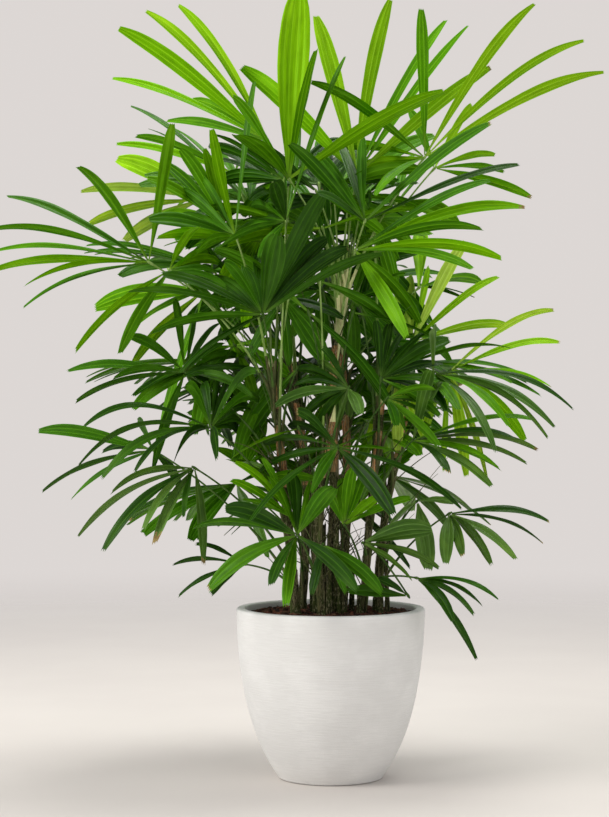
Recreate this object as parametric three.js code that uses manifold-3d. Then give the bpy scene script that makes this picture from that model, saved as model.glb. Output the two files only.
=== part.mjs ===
// Lady palm in a round pot: canes, fan-shaped fronds, soil and pot.
// Millimetres, +Z up. The origin is the middle of the pot's flat underside and the front faces -Y.
import * as THREE from 'three';
import { mergeVertices } from 'three/addons/utils/BufferGeometryUtils.js';
import Module from 'manifold-3d';

const wasm = await Module();
wasm.setup();

// ---- Driving dimensions ----

const GAP = 0.3; // air between pieces that rest on each other

const POT = {
  height: 286,
  rimRadius: 160,
  footRadius: 90,
  wall: 17,
  floor: 20,
  sides: 36,
  outlineSteps: 7,
  footPull: [28, 38], // how far out and up the outline heads from the foot
  wallPull: [4, 164], // how far in and down the outline heads from the rim
  edgeRound: 4,
};

const SOIL = { belowRim: 10 };
const SOIL_TOP = POT.height - SOIL.belowRim;

const CANE = { sides: 7, steps: 7, flare: 1.3, flareHeight: 14, tipRadius: 4.5 };

const PETIOLE = { sides: 4, steps: 4, baseRadius: 3.6, tipRadius: 2.4, lowest: 330, clearance: 6, checks: 24 };

const HUB = { radius: 7, rootAt: 4 }; // leaflets start this far from the hub's middle, inside it

const LEAFLET = {
  rootWidth: 3.4,
  thinnest: 2.6,
  thinness: 92, // length over thickness
  maxRoll: 72, // degrees a leaflet may be turned away edgewise
  longSteps: [0, 0.3, 0.6, 0.87, 1],
  shortSteps: [0, 0.42, 0.84, 1],
  longFrom: 250,
};

// How broad a leaflet is along its length, as a share of its width: [place, share].
const LEAFLET_OUTLINE = [[0, 0], [0.3, 0.8], [0.42, 0.95], [0.6, 1], [0.84, 0.84], [0.87, 0.78], [1, 0.34]];

// Fronds keep this far apart, measured between points spread over them this closely.
const CLEARANCE = 8;
const SAMPLE_STEP = 6;
// How far a leaflet's tip may be swung back or forward to keep clear, in the order tried.
const SWINGS = [0, -20, 20, -40, 40, -60, 60, -85, 85, -110, 110, -140, 140];
// How high a petiole may arch, as a share of its length, and how far round and how far up or down
// its cane it may move to keep clear, in the order tried.
const ARCHES = [0.14, 0.05, 0.24];
const TURNS = [0, 35, -35, 70, -70, 105, -105];
const SLIDES = [0, 14, -14, 28, -28, 42, -42, 60, -60, 80, -80, 100, -100];

const TONES = { young: 0x8fa83c, mature: 0x4f7a33, old: 0x2f5527 };

// Canes: [x, y, z] of the base, the bend and the top, with the radius above the flare.
const CANES = {
  left: { path: [[-58, -28, 0], [-76, -30, 200], [-99, -22, 412]], radius: 7.5 },
  left_back: { path: [[-48, 38, 0], [-40, 52, 220], [-76, 74, 455]], radius: 6.5 },
  centre: { path: [[-6, -2, 0], [6, -8, 190], [4, 0, 400], [26, 8, 560]], radius: 8 },
  front: { path: [[-16, -52, 0], [-22, -66, 150], [2, -74, 320]], radius: 6 },
  right: { path: [[54, -16, 0], [66, -24, 170], [86, -26, 352]], radius: 5.5 },
  right_outer: { path: [[78, 24, 0], [92, 34, 150], [128, 36, 330]], radius: 6.5 },
  back: { path: [[20, 62, 0], [30, 84, 240], [16, 108, 520]], radius: 7.5 },
  back_left: { path: [[-18, 96, 0], [-34, 122, 190], [-62, 156, 400]], radius: 6.5 },
};

// Fronds. The hub is where the leaflets meet. Each leaflet is [bearing, reach, breadth]: its
// direction seen from the front, anticlockwise from the right in degrees, how far its tip lies
// from the hub in that view, and how broad it shows. What is missing of its full length points
// towards the front or the back, by the frond's cup from -1 to 1, and what is missing of its
// full width is turned away. Arch is how far the middle of a leaflet rises above a straight line.
const FRONDS = [
  { name: 'top_tall', cane: 'centre', hub: [-70, -50, 1005], cup: -0.5, arch: 0.03, width: 50, tone: 'young',
    leaflets: [[87, 320, 50], [28, 290, 24], [77, 200, 9], [128, 145, 15], [147, 100, 20]] },
  { name: 'top_middle', cane: 'centre', hub: [45, 20, 1022], cup: 0.4, arch: 0.04, width: 32, tone: 'young',
    leaflets: [[104, 290, 30], [79, 310, 27], [60, 310, 18], [53, 318, 19], [39, 300, 25], [136, 278, 30]] },
  { name: 'top_right', cane: 'centre', hub: [158, -20, 1045], cup: -0.45, arch: 0.07, width: 26, tone: 'young',
    leaflets: [[93, 230, 20], [54, 305, 20], [36, 335, 15], [25, 333, 18], [150, 225, 18], [222, 120, 17]] },
  { name: 'top_left', cane: 'left_back', hub: [-106, 40, 1080], cup: 0.4, arch: 0.05, width: 27, tone: 'young',
    leaflets: [[157, 297, 16], [143, 322, 26], [133, 314, 16], [123, 292, 18], [165, 190, 20], [148, 165, 22]] },
  { name: 'left_star', cane: 'left_back', hub: [-305, -30, 868], cup: -0.6, arch: 0.09, width: 24, tone: 'mature',
    leaflets: [[156, 250, 16], [126, 180, 20], [78, 224, 20], [170, 282, 12], [178, 285, 10], [185, 275, 14],
      [203, 215, 12], [194, 200, 7]] },
  { name: 'right_high', cane: 'centre', hub: [55, -105, 930], cup: -0.6, arch: 0.05, width: 28, tone: 'mature',
    leaflets: [[74, 195, 26], [47, 182, 17], [37, 256, 20], [20, 272, 12], [138, 166, 22], [160, 85, 18]] },
  { name: 'right_upper', cane: 'centre', hub: [40, -85, 884], cup: -0.5, arch: 0.07, width: 26, tone: 'mature',
    leaflets: [[14, 290, 22], [26, 243, 16], [7, 205, 18], [-5, 235, 18], [-12, 190, 15], [-62, 170, 24]] },
  { name: 'middle_dark', cane: 'left', hub: [-112, -130, 776], cup: -0.55, arch: 0.06, width: 40, tone: 'old',
    leaflets: [[78, 124, 38], [63, 226, 32], [26, 218, 13], [160, 172, 18], [128, 95, 18], [171, 224, 11],
      [191, 182, 15], [217, 164, 11]] },
  { name: 'right_pale_low', cane: 'right_outer', hub: [208, 85, 688], cup: 0.6, arch: 0.1, width: 26, tone: 'young',
    leaflets: [[30, 210, 13], [14, 204, 12], [-9, 188, 11], [-42, 186, 23], [-80, 192, 24], [-92, 180, 14],
      [-71, 208, 11], [236, 172, 22]] },
  { name: 'low_left_star', cane: 'left', hub: [-228, -50, 524], cup: -0.5, arch: 0.14, width: 24, tone: 'mature',
    leaflets: [[197, 138, 13], [211, 228, 12], [223, 203, 18], [232, 128, 14], [244, 138, 20], [262, 80, 13],
      [277, 160, 16]] },
  { name: 'low_middle', cane: 'front', hub: [-56, -150, 418], cup: -0.5, arch: 0.1, width: 32, tone: 'mature',
    leaflets: [[212, 172, 27], [261, 112, 20], [-42, 132, 27], [159, 124, 29], [176, 170, 16], [53, 100, 30],
      [242, 88, 15]] },
  { name: 'right_low_fan', cane: 'right', hub: [136, -60, 570], cup: -0.55, arch: 0.1, width: 24, tone: 'old',
    leaflets: [[9, 208, 9], [1, 165, 10], [-5, 212, 9], [-12, 192, 13], [-19, 148, 13], [-31, 145, 16],
      [-45, 75, 14], [78, 118, 22]] },
  { name: 'left_pale', cane: 'left_back', hub: [-220, 120, 990], cup: 0.6, arch: 0.05, width: 38, tone: 'young',
    leaflets: [[154, 180, 36], [177, 218, 16], [192, 213, 11], [167, 140, 16], [116, 130, 14], [205, 165, 20]] },
  { name: 'right_pale', cane: 'right_outer', hub: [144, 105, 738], cup: 0.55, arch: 0.07, width: 28, tone: 'young',
    leaflets: [[62, 200, 25], [37, 194, 14], [10, 178, 16], [76, 142, 13], [120, 120, 18]] },
  { name: 'low_right_star', cane: 'right_outer', hub: [200, -20, 446], cup: -0.5, arch: 0.12, width: 24, tone: 'old',
    leaflets: [[-5, 170, 12], [-18, 165, 7], [-35, 131, 16], [-52, 107, 18], [-98, 82, 23], [-76, 70, 20]] },
  { name: 'left_middle', cane: 'left', hub: [-245, -25, 684], cup: -0.55, arch: 0.09, width: 24, tone: 'old',
    leaflets: [[147, 102, 18], [180, 200, 16], [196, 190, 9], [187, 116, 14], [96, 118, 12], [76, 108, 11],
      [253, 173, 18], [-20, 124, 18]] },
  { name: 'left_low_broad', cane: 'left', hub: [-302, 20, 552], cup: 0.5, arch: 0.09, width: 24, tone: 'mature',
    leaflets: [[171, 202, 22], [201, 205, 11], [211, 172, 10], [126, 60, 16], [184, 98, 16], [300, 90, 16]] },
  { name: 'right_arch', cane: 'right', hub: [172, -40, 682], cup: -0.5, arch: 0.16, width: 24, tone: 'old',
    leaflets: [[-15, 244, 11], [-25, 217, 14], [-31, 214, 11], [-38, 150, 14], [-55, 161, 16], [98, 70, 16]] },
  { name: 'low_right', cane: 'right', hub: [142, -75, 342], cup: -0.5, arch: 0.14, width: 20, tone: 'mature',
    leaflets: [[-50, 86, 18], [-54, 170, 13], [-32, 107, 11], [-22, 113, 8], [-14, 136, 8]] },
  { name: 'left_high', cane: 'left', hub: [-158, -80, 908], cup: -0.6, arch: 0.05, width: 26, tone: 'mature',
    leaflets: [[102, 166, 19], [174, 135, 24], [83, 258, 11], [187, 122, 18], [215, 72, 14]] },
  { name: 'left_arch', cane: 'left', hub: [-198, -90, 592], cup: -0.5, arch: 0.2, width: 22, tone: 'old',
    leaflets: [[180, 205, 11], [197, 232, 11], [206, 196, 16], [-74, 55, 16], [226, 80, 13], [120, 75, 18],
      [49, 118, 16], [212, 143, 10]] },
  { name: 'right_high_back', cane: 'back', hub: [182, 90, 1040], cup: 0.6, arch: 0.06, width: 22, tone: 'young',
    leaflets: [[16, 118, 12], [0, 130, 9], [-17, 178, 16], [60, 140, 16], [110, 120, 18]] },
  { name: 'low_middle_high', cane: 'front', hub: [10, -130, 560], cup: -0.45, arch: 0.09, width: 28, tone: 'old',
    leaflets: [[-51, 141, 27], [-27, 230, 12], [238, 84, 22], [220, 185, 12], [140, 90, 16]] },
  { name: 'left_star_inner', cane: 'left', hub: [-266, -100, 850], cup: -0.5, arch: 0.08, width: 22, tone: 'mature',
    leaflets: [[221, 208, 14], [241, 162, 20], [-18, 102, 16], [46, 82, 13]] },
  { name: 'low_bright', cane: 'right', hub: [22, -90, 430], cup: -0.5, arch: 0.06, width: 24, tone: 'young',
    leaflets: [[82, 100, 22], [40, 78, 20], [22, 122, 13], [118, 68, 16]] },
  { name: 'left_upper_back', cane: 'back_left', hub: [-166, 90, 1030], cup: 0.5, arch: 0.05, width: 20, tone: 'mature',
    leaflets: [[166, 214, 16], [158, 192, 14], [203, 124, 16], [74, 110, 14]] },
  { name: 'right_dark', cane: 'right', hub: [82, -80, 672], cup: -0.5, arch: 0.05, width: 26, tone: 'old',
    leaflets: [[29, 138, 25], [96, 98, 16], [-33, 119, 16]] },
  { name: 'middle_high', cane: 'centre', hub: [-4, 30, 872], cup: 0.4, arch: 0.04, width: 20, tone: 'mature',
    leaflets: [[103, 112, 14], [91, 140, 14], [79, 128, 14], [157, 70, 20]] },
  { name: 'middle_short', cane: 'left', hub: [-74, -110, 930], cup: -0.5, arch: 0.05, width: 30, tone: 'mature',
    leaflets: [[111, 52, 29], [70, 285, 11], [208, 126, 11], [238, 78, 22]] },
  { name: 'low_right_broad', cane: 'right_outer', hub: [144, -45, 468], cup: -0.4, arch: 0.08, width: 32, tone: 'old',
    leaflets: [[-81, 121, 31], [-4, 60, 12], [224, 74, 13]] },
  { name: 'low_right_ribbed', cane: 'right', hub: [52, -95, 402], cup: -0.4, arch: 0.07, width: 36, tone: 'old',
    leaflets: [[11, 116, 34], [-19, 134, 13], [-37, 100, 11]] },
  { name: 'low_left', cane: 'left', hub: [-144, -40, 362], cup: -0.3, arch: 0.1, width: 16, tone: 'old',
    leaflets: [[181, 123, 9], [206, 125, 8], [157, 90, 8], [222, 75, 14]] },
  { name: 'middle_arch', cane: 'front', hub: [28, -110, 656], cup: -0.5, arch: 0.12, width: 24, tone: 'mature',
    leaflets: [[194, 125, 18], [-68, 48, 22], [125, 80, 13]] },
  { name: 'right_hanging', cane: 'centre', hub: [92, -105, 640], cup: -0.4, arch: 0.08, width: 20, tone: 'mature',
    leaflets: [[-44, 120, 16], [-74, 50, 18], [10, 78, 13]] },
  { name: 'low_middle_back', cane: 'front', hub: [-14, -110, 400], cup: -0.3, arch: 0.08, width: 24, tone: 'old',
    leaflets: [[257, 84, 16], [-65, 90, 16], [-40, 130, 23]] },
];

// Fronds round the back of the crown, in rings from the top down. Each ring has its height, how
// far out its hubs lie from the crown's middle, and how its fans are held.
const CROWN_MIDDLE = [-20, 40];
const BACK_RINGS = [
  { level: 'high', canes: ['back', 'back_left', 'back'], height: 985, out: 160, from: 40, to: 140,
    rise: 42, reach: 280, droop: 30, tone: 'young' },
  { level: 'upper', canes: ['back', 'back', 'left_back', 'back_left'], height: 850, out: 190, from: 22, to: 158,
    rise: 24, reach: 265, droop: 60, tone: 'mature' },
  { level: 'middle', canes: ['right_outer', 'back', 'back_left', 'left_back'], height: 690, out: 206, from: 30,
    to: 158, rise: 12, reach: 255, droop: 80, tone: 'mature' },
  { level: 'low', canes: ['right_outer', 'back', 'back_left'], height: 500, out: 175, from: 42, to: 145,
    rise: 4, reach: 235, droop: 90, tone: 'old' },
];
const BACK_FAN = { leaflets: 7, spread: 205, width: 27, sideShare: 0.74, arch: 0.07, lift: 36 };

// ---- Small helpers ----

const UP = new THREE.Vector3(0, 0, 1);
const FRONT = new THREE.Vector3(0, -1, 0);
const radians = THREE.MathUtils.degToRad;

function makeRandom(seed) {
  let state = seed;
  return () => {
    state = (state * 16807) % 2147483647;
    return state / 2147483647;
  };
}

const random = makeRandom(20731);

function interpolate(table, place) {
  for (let i = 1; i < table.length; i += 1) {
    const [x0, y0] = table[i - 1];
    const [x1, y1] = table[i];
    if (place <= x1) return y0 + ((y1 - y0) * (place - x0)) / (x1 - x0);
  }
  return table[table.length - 1][1];
}

// A closed skin over rings of points. The rings run anticlockwise seen from the last ring.
function loft(rings) {
  const count = rings[0].length;
  const positions = rings.flat().flatMap((point) => point.toArray());
  const index = [];
  for (let ring = 0; ring + 1 < rings.length; ring += 1) {
    for (let i = 0; i < count; i += 1) {
      const a = ring * count + i;
      const b = ring * count + ((i + 1) % count);
      index.push(a, b, b + count, a, b + count, a + count);
    }
  }
  const last = (rings.length - 1) * count;
  for (let i = 1; i + 1 < count; i += 1) {
    index.push(0, i + 1, i);
    index.push(last, last + i, last + i + 1);
  }
  const geometry = new THREE.BufferGeometry();
  geometry.setAttribute('position', new THREE.Float32BufferAttribute(positions, 3));
  geometry.setIndex(index);
  return geometry;
}

function toSolid(geometry) {
  const bare = geometry.clone();
  bare.deleteAttribute('normal');
  bare.deleteAttribute('uv');
  const merged = mergeVertices(bare, 1e-4);
  return new wasm.Manifold(new wasm.Mesh({
    numProp: 3,
    vertProperties: Float32Array.from(merged.attributes.position.array),
    triVerts: Uint32Array.from(merged.index.array),
  }));
}

// The outer skin of a solid. A hollow sealed between crossing leaflets is filled by leaving its skin out.
function toGeometry(solid) {
  const mesh = solid.getMesh();
  const group = Array.from({ length: mesh.vertProperties.length / 3 }, (_, i) => i);
  const find = (i) => {
    let root = i;
    while (group[root] !== root) root = group[root];
    group[i] = root;
    return root;
  };
  for (let i = 0; i < mesh.triVerts.length; i += 3) {
    const [a, b, c] = mesh.triVerts.subarray(i, i + 3);
    group[find(a)] = find(b);
    group[find(b)] = find(c);
  }
  const sizes = new Map();
  for (const vertex of mesh.triVerts) sizes.set(find(vertex), (sizes.get(find(vertex)) ?? 0) + 1);
  const outer = [...sizes.keys()].reduce((best, root) => (sizes.get(root) > sizes.get(best) ? root : best));
  const geometry = new THREE.BufferGeometry();
  geometry.setAttribute('position', new THREE.BufferAttribute(mesh.vertProperties, 3));
  geometry.setIndex(Array.from(mesh.triVerts).filter((vertex) => find(vertex) === outer));
  return geometry;
}

function named(name, geometry, color, roughness) {
  geometry.computeVertexNormals();
  const material = new THREE.MeshStandardMaterial({ color, roughness, metalness: 0 });
  const mesh = new THREE.Mesh(geometry, material);
  mesh.name = name;
  return mesh;
}

// A round stalk along a curve, with a corner towards where it comes from. Its ends are cut square.
function stalk(curve, steps, sides, radiusAt) {
  const heading = curve.v2.clone().sub(curve.v0).setZ(0).normalize();
  const rings = [];
  for (let step = 0; step <= steps; step += 1) {
    const place = step / steps;
    const centre = curve.getPoint(place);
    const along = curve.getTangent(place);
    const side = heading.clone().addScaledVector(along, -along.dot(heading)).normalize();
    const across = new THREE.Vector3().crossVectors(along, side);
    const radius = radiusAt(place);
    const ring = [];
    for (let i = 0; i < sides; i += 1) {
      const turn = (2 * Math.PI * i) / sides;
      const point = centre.clone().addScaledVector(side, radius * Math.cos(turn));
      ring.push(point.addScaledVector(across, radius * Math.sin(turn)));
    }
    rings.push(ring);
  }
  return loft(rings);
}

// ---- Clear space between the pieces ----

// Points spread over what stands already, sorted into cubes of the clearance's size.
const placed = new Map();

function cellOf(point, dx = 0, dy = 0, dz = 0) {
  const x = Math.floor(point.x / CLEARANCE) + dx;
  const y = Math.floor(point.y / CLEARANCE) + dy;
  const z = Math.floor(point.z / CLEARANCE) + dz;
  return `${x},${y},${z}`;
}

function remember(points, owner) {
  for (const point of points) {
    const cell = cellOf(point);
    if (!placed.has(cell)) placed.set(cell, []);
    placed.get(cell).push({ point, owner });
  }
}

function touchesPot(point) {
  const margin = CLEARANCE;
  return point.z < POT.height + margin && Math.hypot(point.x, point.y) < POT.rimRadius + margin;
}

function nearOthers(point, owner, clearance) {
  for (let dx = -1; dx <= 1; dx += 1) {
    for (let dy = -1; dy <= 1; dy += 1) {
      for (let dz = -1; dz <= 1; dz += 1) {
        for (const other of placed.get(cellOf(point, dx, dy, dz)) ?? []) {
          if (other.owner !== owner && other.point.distanceTo(point) < clearance) return true;
        }
      }
    }
  }
  return false;
}

function isClear(points, owner, clearance) {
  return !points.some((point) => touchesPot(point) || nearOthers(point, owner, clearance));
}

// ---- Pot and soil ----

function potOutline() {
  const foot = new THREE.Vector2(POT.footRadius, POT.edgeRound);
  const rim = new THREE.Vector2(POT.rimRadius, POT.height - POT.edgeRound);
  const [footOut, footUp] = POT.footPull;
  const [rimIn, rimDown] = POT.wallPull;
  const lower = new THREE.Vector2(foot.x + footOut, foot.y + footUp);
  const upper = new THREE.Vector2(rim.x - rimIn, rim.y - rimDown);
  return new THREE.CubicBezierCurve(foot, lower, upper, rim);
}

// The inside follows the outside, one wall thickness in, down to the floor.
function potInside(clear) {
  const points = [];
  for (const point of potOutline().getPoints(POT.outlineSteps)) {
    const inside = new THREE.Vector2(point.x - POT.wall - clear, point.y);
    if (inside.y > POT.floor + POT.wall) points.push(inside);
  }
  const lowest = points[0];
  const corner = new THREE.Vector2(lowest.x - POT.wall, POT.floor + clear);
  return [new THREE.Vector2(0, POT.floor + clear), corner, ...points];
}

function makePot() {
  const foot = new THREE.Vector2(POT.footRadius - POT.edgeRound, 0);
  const outside = [foot, ...potOutline().getPoints(POT.outlineSteps)];
  const rimInside = POT.rimRadius - POT.wall;
  const rim = [
    new THREE.Vector2(POT.rimRadius - POT.edgeRound, POT.height),
    new THREE.Vector2(rimInside + POT.edgeRound, POT.height),
  ];
  const inside = potInside(0).reverse();
  const profile = [new THREE.Vector2(0, 0), ...outside, ...rim, ...inside];
  const geometry = new THREE.LatheGeometry(profile, POT.sides);
  geometry.rotateX(Math.PI / 2);
  return named('pot', toGeometry(toSolid(geometry)), 0xd9d6cc, 0.75);
}

function makeSoil() {
  const side = potInside(GAP).filter((point) => point.y < SOIL_TOP);
  const topRadius = POT.rimRadius - POT.wall - GAP - 1;
  const profile = [...side, new THREE.Vector2(topRadius, SOIL_TOP), new THREE.Vector2(0, SOIL_TOP)];
  const geometry = new THREE.LatheGeometry(profile, POT.sides);
  geometry.rotateX(Math.PI / 2);
  return named('soil', toGeometry(toSolid(geometry)), 0x4a2a1e, 0.95);
}

// ---- Canes ----

function caneCurve(cane) {
  const base = SOIL_TOP + GAP;
  return new THREE.CatmullRomCurve3(cane.path.map(([x, y, z]) => new THREE.Vector3(x, y, base + z)));
}

// A cane is level rings of even sides: its flared foot, then even steps up to its tip.
function caneRings(cane) {
  const curve = caneCurve(cane);
  const places = [0, CANE.flareHeight / curve.getLength()];
  for (let step = 1; step <= CANE.steps; step += 1) places.push(step / CANE.steps);
  return places.map((place) => {
    const taper = THREE.MathUtils.lerp(cane.radius, CANE.tipRadius, place ** 2);
    return { centre: curve.getPoint(place), radius: place === 0 ? taper * CANE.flare : taper };
  });
}

// The ring at any height, between the cane's own rings.
function caneAt(rings, height) {
  let above = 1;
  while (above < rings.length - 1 && rings[above].centre.z < height) above += 1;
  const low = rings[above - 1];
  const high = rings[above];
  const share = (height - low.centre.z) / (high.centre.z - low.centre.z);
  const centre = low.centre.clone().lerp(high.centre, share);
  return { centre, radius: THREE.MathUtils.lerp(low.radius, high.radius, share) };
}

// How far the flat-sided skin of a ring lies from its middle in a direction.
function skinDistance(radius, direction) {
  const side = (2 * Math.PI) / CANE.sides;
  const turn = (Math.atan2(direction.y, direction.x) + 2 * Math.PI) % side;
  return (radius * Math.cos(side / 2)) / Math.cos(turn - side / 2);
}

function makeCane(name, cane) {
  const rings = caneRings(cane);
  const skin = rings.map(({ centre, radius }) => {
    const ring = [];
    for (let i = 0; i < CANE.sides; i += 1) {
      const turn = (2 * Math.PI * i) / CANE.sides;
      const offset = new THREE.Vector3(Math.cos(turn), Math.sin(turn), 0);
      ring.push(centre.clone().addScaledVector(offset, radius));
    }
    return ring;
  });
  rememberStalk(caneCurve(cane), () => cane.radius, name);
  return named(`cane_${name}`, loft(skin), 0x6b4a35, 0.85);
}

// Points round a stalk's skin, close enough together to keep others off it.
function stalkPoints(curve, radiusAt) {
  const points = [];
  const steps = Math.ceil(curve.getLength() / SAMPLE_STEP);
  for (let step = 0; step <= steps; step += 1) {
    const place = step / steps;
    const centre = curve.getPoint(place);
    for (let i = 0; i < 6; i += 1) {
      const turn = (Math.PI * i) / 3;
      const offset = new THREE.Vector3(Math.cos(turn), Math.sin(turn), 0);
      points.push(centre.clone().addScaledVector(offset, radiusAt(place)));
    }
  }
  return points;
}

function rememberStalk(curve, radiusAt, owner) {
  remember(stalkPoints(curve, radiusAt), owner);
}

// ---- Petioles ----

function petioleRadius(place) {
  return THREE.MathUtils.lerp(PETIOLE.baseRadius, PETIOLE.tipRadius, place);
}

// A petiole leaves its cane on the side of its hub, beside the cane's skin, and arches to the hub.
function petioleCurve(frond, arch, turn, slide) {
  const rings = caneRings(CANES[frond.cane]);
  const hub = new THREE.Vector3(...frond.hub);
  const top = rings[rings.length - 1].centre;
  const run = Math.hypot(hub.x - top.x, hub.y - top.y);
  const highest = top.z - PETIOLE.baseRadius - 4;
  const wanted = THREE.MathUtils.clamp(hub.z - 70 - 0.6 * run, PETIOLE.lowest, highest);
  const height = THREE.MathUtils.clamp(wanted + slide, PETIOLE.lowest, highest);
  const { centre, radius } = caneAt(rings, height);
  const away = new THREE.Vector3(hub.x - centre.x, hub.y - centre.y, 0).normalize();
  away.applyAxisAngle(UP, radians(turn));
  const bend = centre.clone().lerp(hub, 0.4).addScaledVector(UP, arch * centre.distanceTo(hub));
  const seat = centre.clone().addScaledVector(away, skinDistance(radius, away) + GAP);
  const upright = Math.abs(bend.clone().sub(seat).normalize().z);
  const start = seat.addScaledVector(away, PETIOLE.baseRadius * upright);
  return new THREE.QuadraticBezierCurve3(start, bend, hub);
}

// Whether a petiole stays as far from the skin of its own cane as where it starts.
function leavesCane(curve, rings) {
  const room = (place) => {
    const point = curve.getPoint(place);
    const { centre, radius } = caneAt(rings, Math.min(point.z, rings[rings.length - 1].centre.z));
    const apart = new THREE.Vector3(point.x - centre.x, point.y - centre.y, 0);
    const above = Math.max(0, point.z - rings[rings.length - 1].centre.z);
    return Math.hypot(apart.length(), above) - skinDistance(radius, apart);
  };
  const seat = room(0);
  for (let step = 1; step <= PETIOLE.checks; step += 1) {
    if (room(step / PETIOLE.checks) < seat - 0.05) return false;
  }
  return true;
}

function placePetiole(frond) {
  const rings = caneRings(CANES[frond.cane]);
  const ways = ARCHES.flatMap((arch) => TURNS.flatMap((turn) => SLIDES.map((slide) => [arch, turn, slide])));
  for (const [arch, turn, slide] of ways) {
    const curve = petioleCurve(frond, arch, turn, slide);
    if (!leavesCane(curve, rings)) continue;
    if (isClear(stalkPoints(curve, petioleRadius), frond.cane, PETIOLE.clearance)) {
      rememberStalk(curve, petioleRadius, `petiole_${frond.name}`);
      return curve;
    }
  }
  console.error(`petiole of ${frond.name} has no clear way`);
  return null;
}

// ---- Leaflets ----

function leafletCurve(hub, tip, arch) {
  const length = hub.distanceTo(tip);
  const root = hub.clone().lerp(tip, HUB.rootAt / length);
  const middle = hub.clone().lerp(tip, 0.5).addScaledVector(UP, arch * length);
  return new THREE.QuadraticBezierCurve3(root, middle, tip);
}

// Where a leaflet's blade lies: its middle line, its width and the direction of its width.
function leafletFrame(leaflet) {
  const chord = leaflet.tip.clone().sub(leaflet.hub).normalize();
  const flat = new THREE.Vector3().crossVectors(leaflet.face, chord);
  if (flat.length() < 0.2) flat.set(1, 0, 0).addScaledVector(chord, -chord.x);
  flat.normalize();
  return flat.applyAxisAngle(chord, leaflet.roll);
}

function bladePoint(leaflet, curve, flat, place, share) {
  const along = curve.getTangent(place);
  const wide = flat.clone().addScaledVector(along, -along.dot(flat)).normalize();
  const half = leafletWidth(leaflet, place) / 2;
  return curve.getPoint(place).addScaledVector(wide, share * half);
}

function leafletWidth(leaflet, place) {
  return Math.max(LEAFLET.rootWidth, leaflet.width * interpolate(LEAFLET_OUTLINE, place));
}

function leafletPoints(leaflet) {
  const curve = leafletCurve(leaflet.hub, leaflet.tip, leaflet.arch);
  const flat = leafletFrame(leaflet);
  const steps = Math.ceil(curve.getLength() / SAMPLE_STEP);
  const rows = Math.ceil(leaflet.width / SAMPLE_STEP);
  const points = [];
  for (let step = 1; step <= steps; step += 1) {
    for (let row = 0; row <= rows; row += 1) {
      points.push(bladePoint(leaflet, curve, flat, step / steps, (2 * row) / rows - 1));
    }
  }
  return points;
}

function leafletSolid(leaflet) {
  const curve = leafletCurve(leaflet.hub, leaflet.tip, leaflet.arch);
  const flat = leafletFrame(leaflet);
  const length = curve.getLength();
  const thick = Math.max(LEAFLET.thinnest, length / LEAFLET.thinness);
  const places = length > LEAFLET.longFrom ? LEAFLET.longSteps : LEAFLET.shortSteps;
  const rings = places.map((place) => {
    const along = curve.getTangent(place);
    const wide = flat.clone().addScaledVector(along, -along.dot(flat)).normalize();
    const normal = new THREE.Vector3().crossVectors(along, wide);
    const centre = curve.getPoint(place);
    const half = leafletWidth(leaflet, place) / 2;
    return [
      centre.clone().addScaledVector(wide, half).addScaledVector(normal, -thick / 2),
      centre.clone().addScaledVector(normal, thick / 2),
      centre.clone().addScaledVector(wide, -half).addScaledVector(normal, -thick / 2),
    ];
  });
  return toSolid(loft(rings));
}

// A leaflet is swung back or forward until it is clear of the others, or left out.
function placeLeaflet(leaflet, owner) {
  for (const swing of SWINGS) {
    const tip = leaflet.tip.clone().addScaledVector(leaflet.swingAlong, swing);
    const tried = { ...leaflet, tip };
    const points = leafletPoints(tried);
    if (isClear(points, owner, CLEARANCE)) return { ...tried, points };
  }
  return null;
}

// Leaflets of a frond that is set out as it shows from the front.
function frontLeaflets(frond) {
  const hub = new THREE.Vector3(...frond.hub);
  const full = Math.max(...frond.leaflets.map(([, reach]) => reach));
  return frond.leaflets.map(([bearing, reach, breadth]) => {
    const depth = frond.cup * Math.sqrt(full ** 2 - reach ** 2);
    const turn = radians(bearing);
    const tip = new THREE.Vector3(reach * Math.cos(turn), depth, reach * Math.sin(turn)).add(hub);
    const turned = Math.min(Math.acos(breadth / frond.width), radians(LEAFLET.maxRoll));
    const roll = random() < 0.5 ? -turned : turned;
    const width = Math.max(breadth, 0.85 * frond.width);
    return { hub, tip, arch: frond.arch, width, roll, face: FRONT, swingAlong: new THREE.Vector3(0, 1, 0) };
  });
}

// Leaflets of a frond that is held out from the crown, as an even fan that droops at its tips.
function backLeaflets(frond) {
  const hub = new THREE.Vector3(...frond.hub);
  const out = new THREE.Vector3(Math.cos(frond.turn), Math.sin(frond.turn), 0);
  const side = new THREE.Vector3().crossVectors(UP, out);
  const axis = out.clone().multiplyScalar(Math.cos(frond.rise)).addScaledVector(UP, Math.sin(frond.rise));
  const face = new THREE.Vector3().crossVectors(axis, side);
  const leaflets = [];
  for (let i = 0; i < BACK_FAN.leaflets; i += 1) {
    const share = (2 * i) / (BACK_FAN.leaflets - 1) - 1;
    const turn = radians((BACK_FAN.spread / 2) * share + 10 * (random() - 0.5));
    const length = frond.reach * THREE.MathUtils.lerp(1, BACK_FAN.sideShare, Math.abs(share));
    const tip = hub.clone().addScaledVector(axis, length * Math.cos(turn));
    tip.addScaledVector(side, length * Math.sin(turn)).addScaledVector(UP, -frond.droop);
    const roll = radians(50 * (random() - 0.5));
    const width = BACK_FAN.width * (0.8 + 0.35 * random());
    leaflets.push({ hub, tip, arch: BACK_FAN.arch, width, roll, face, swingAlong: UP });
  }
  return leaflets;
}

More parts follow.
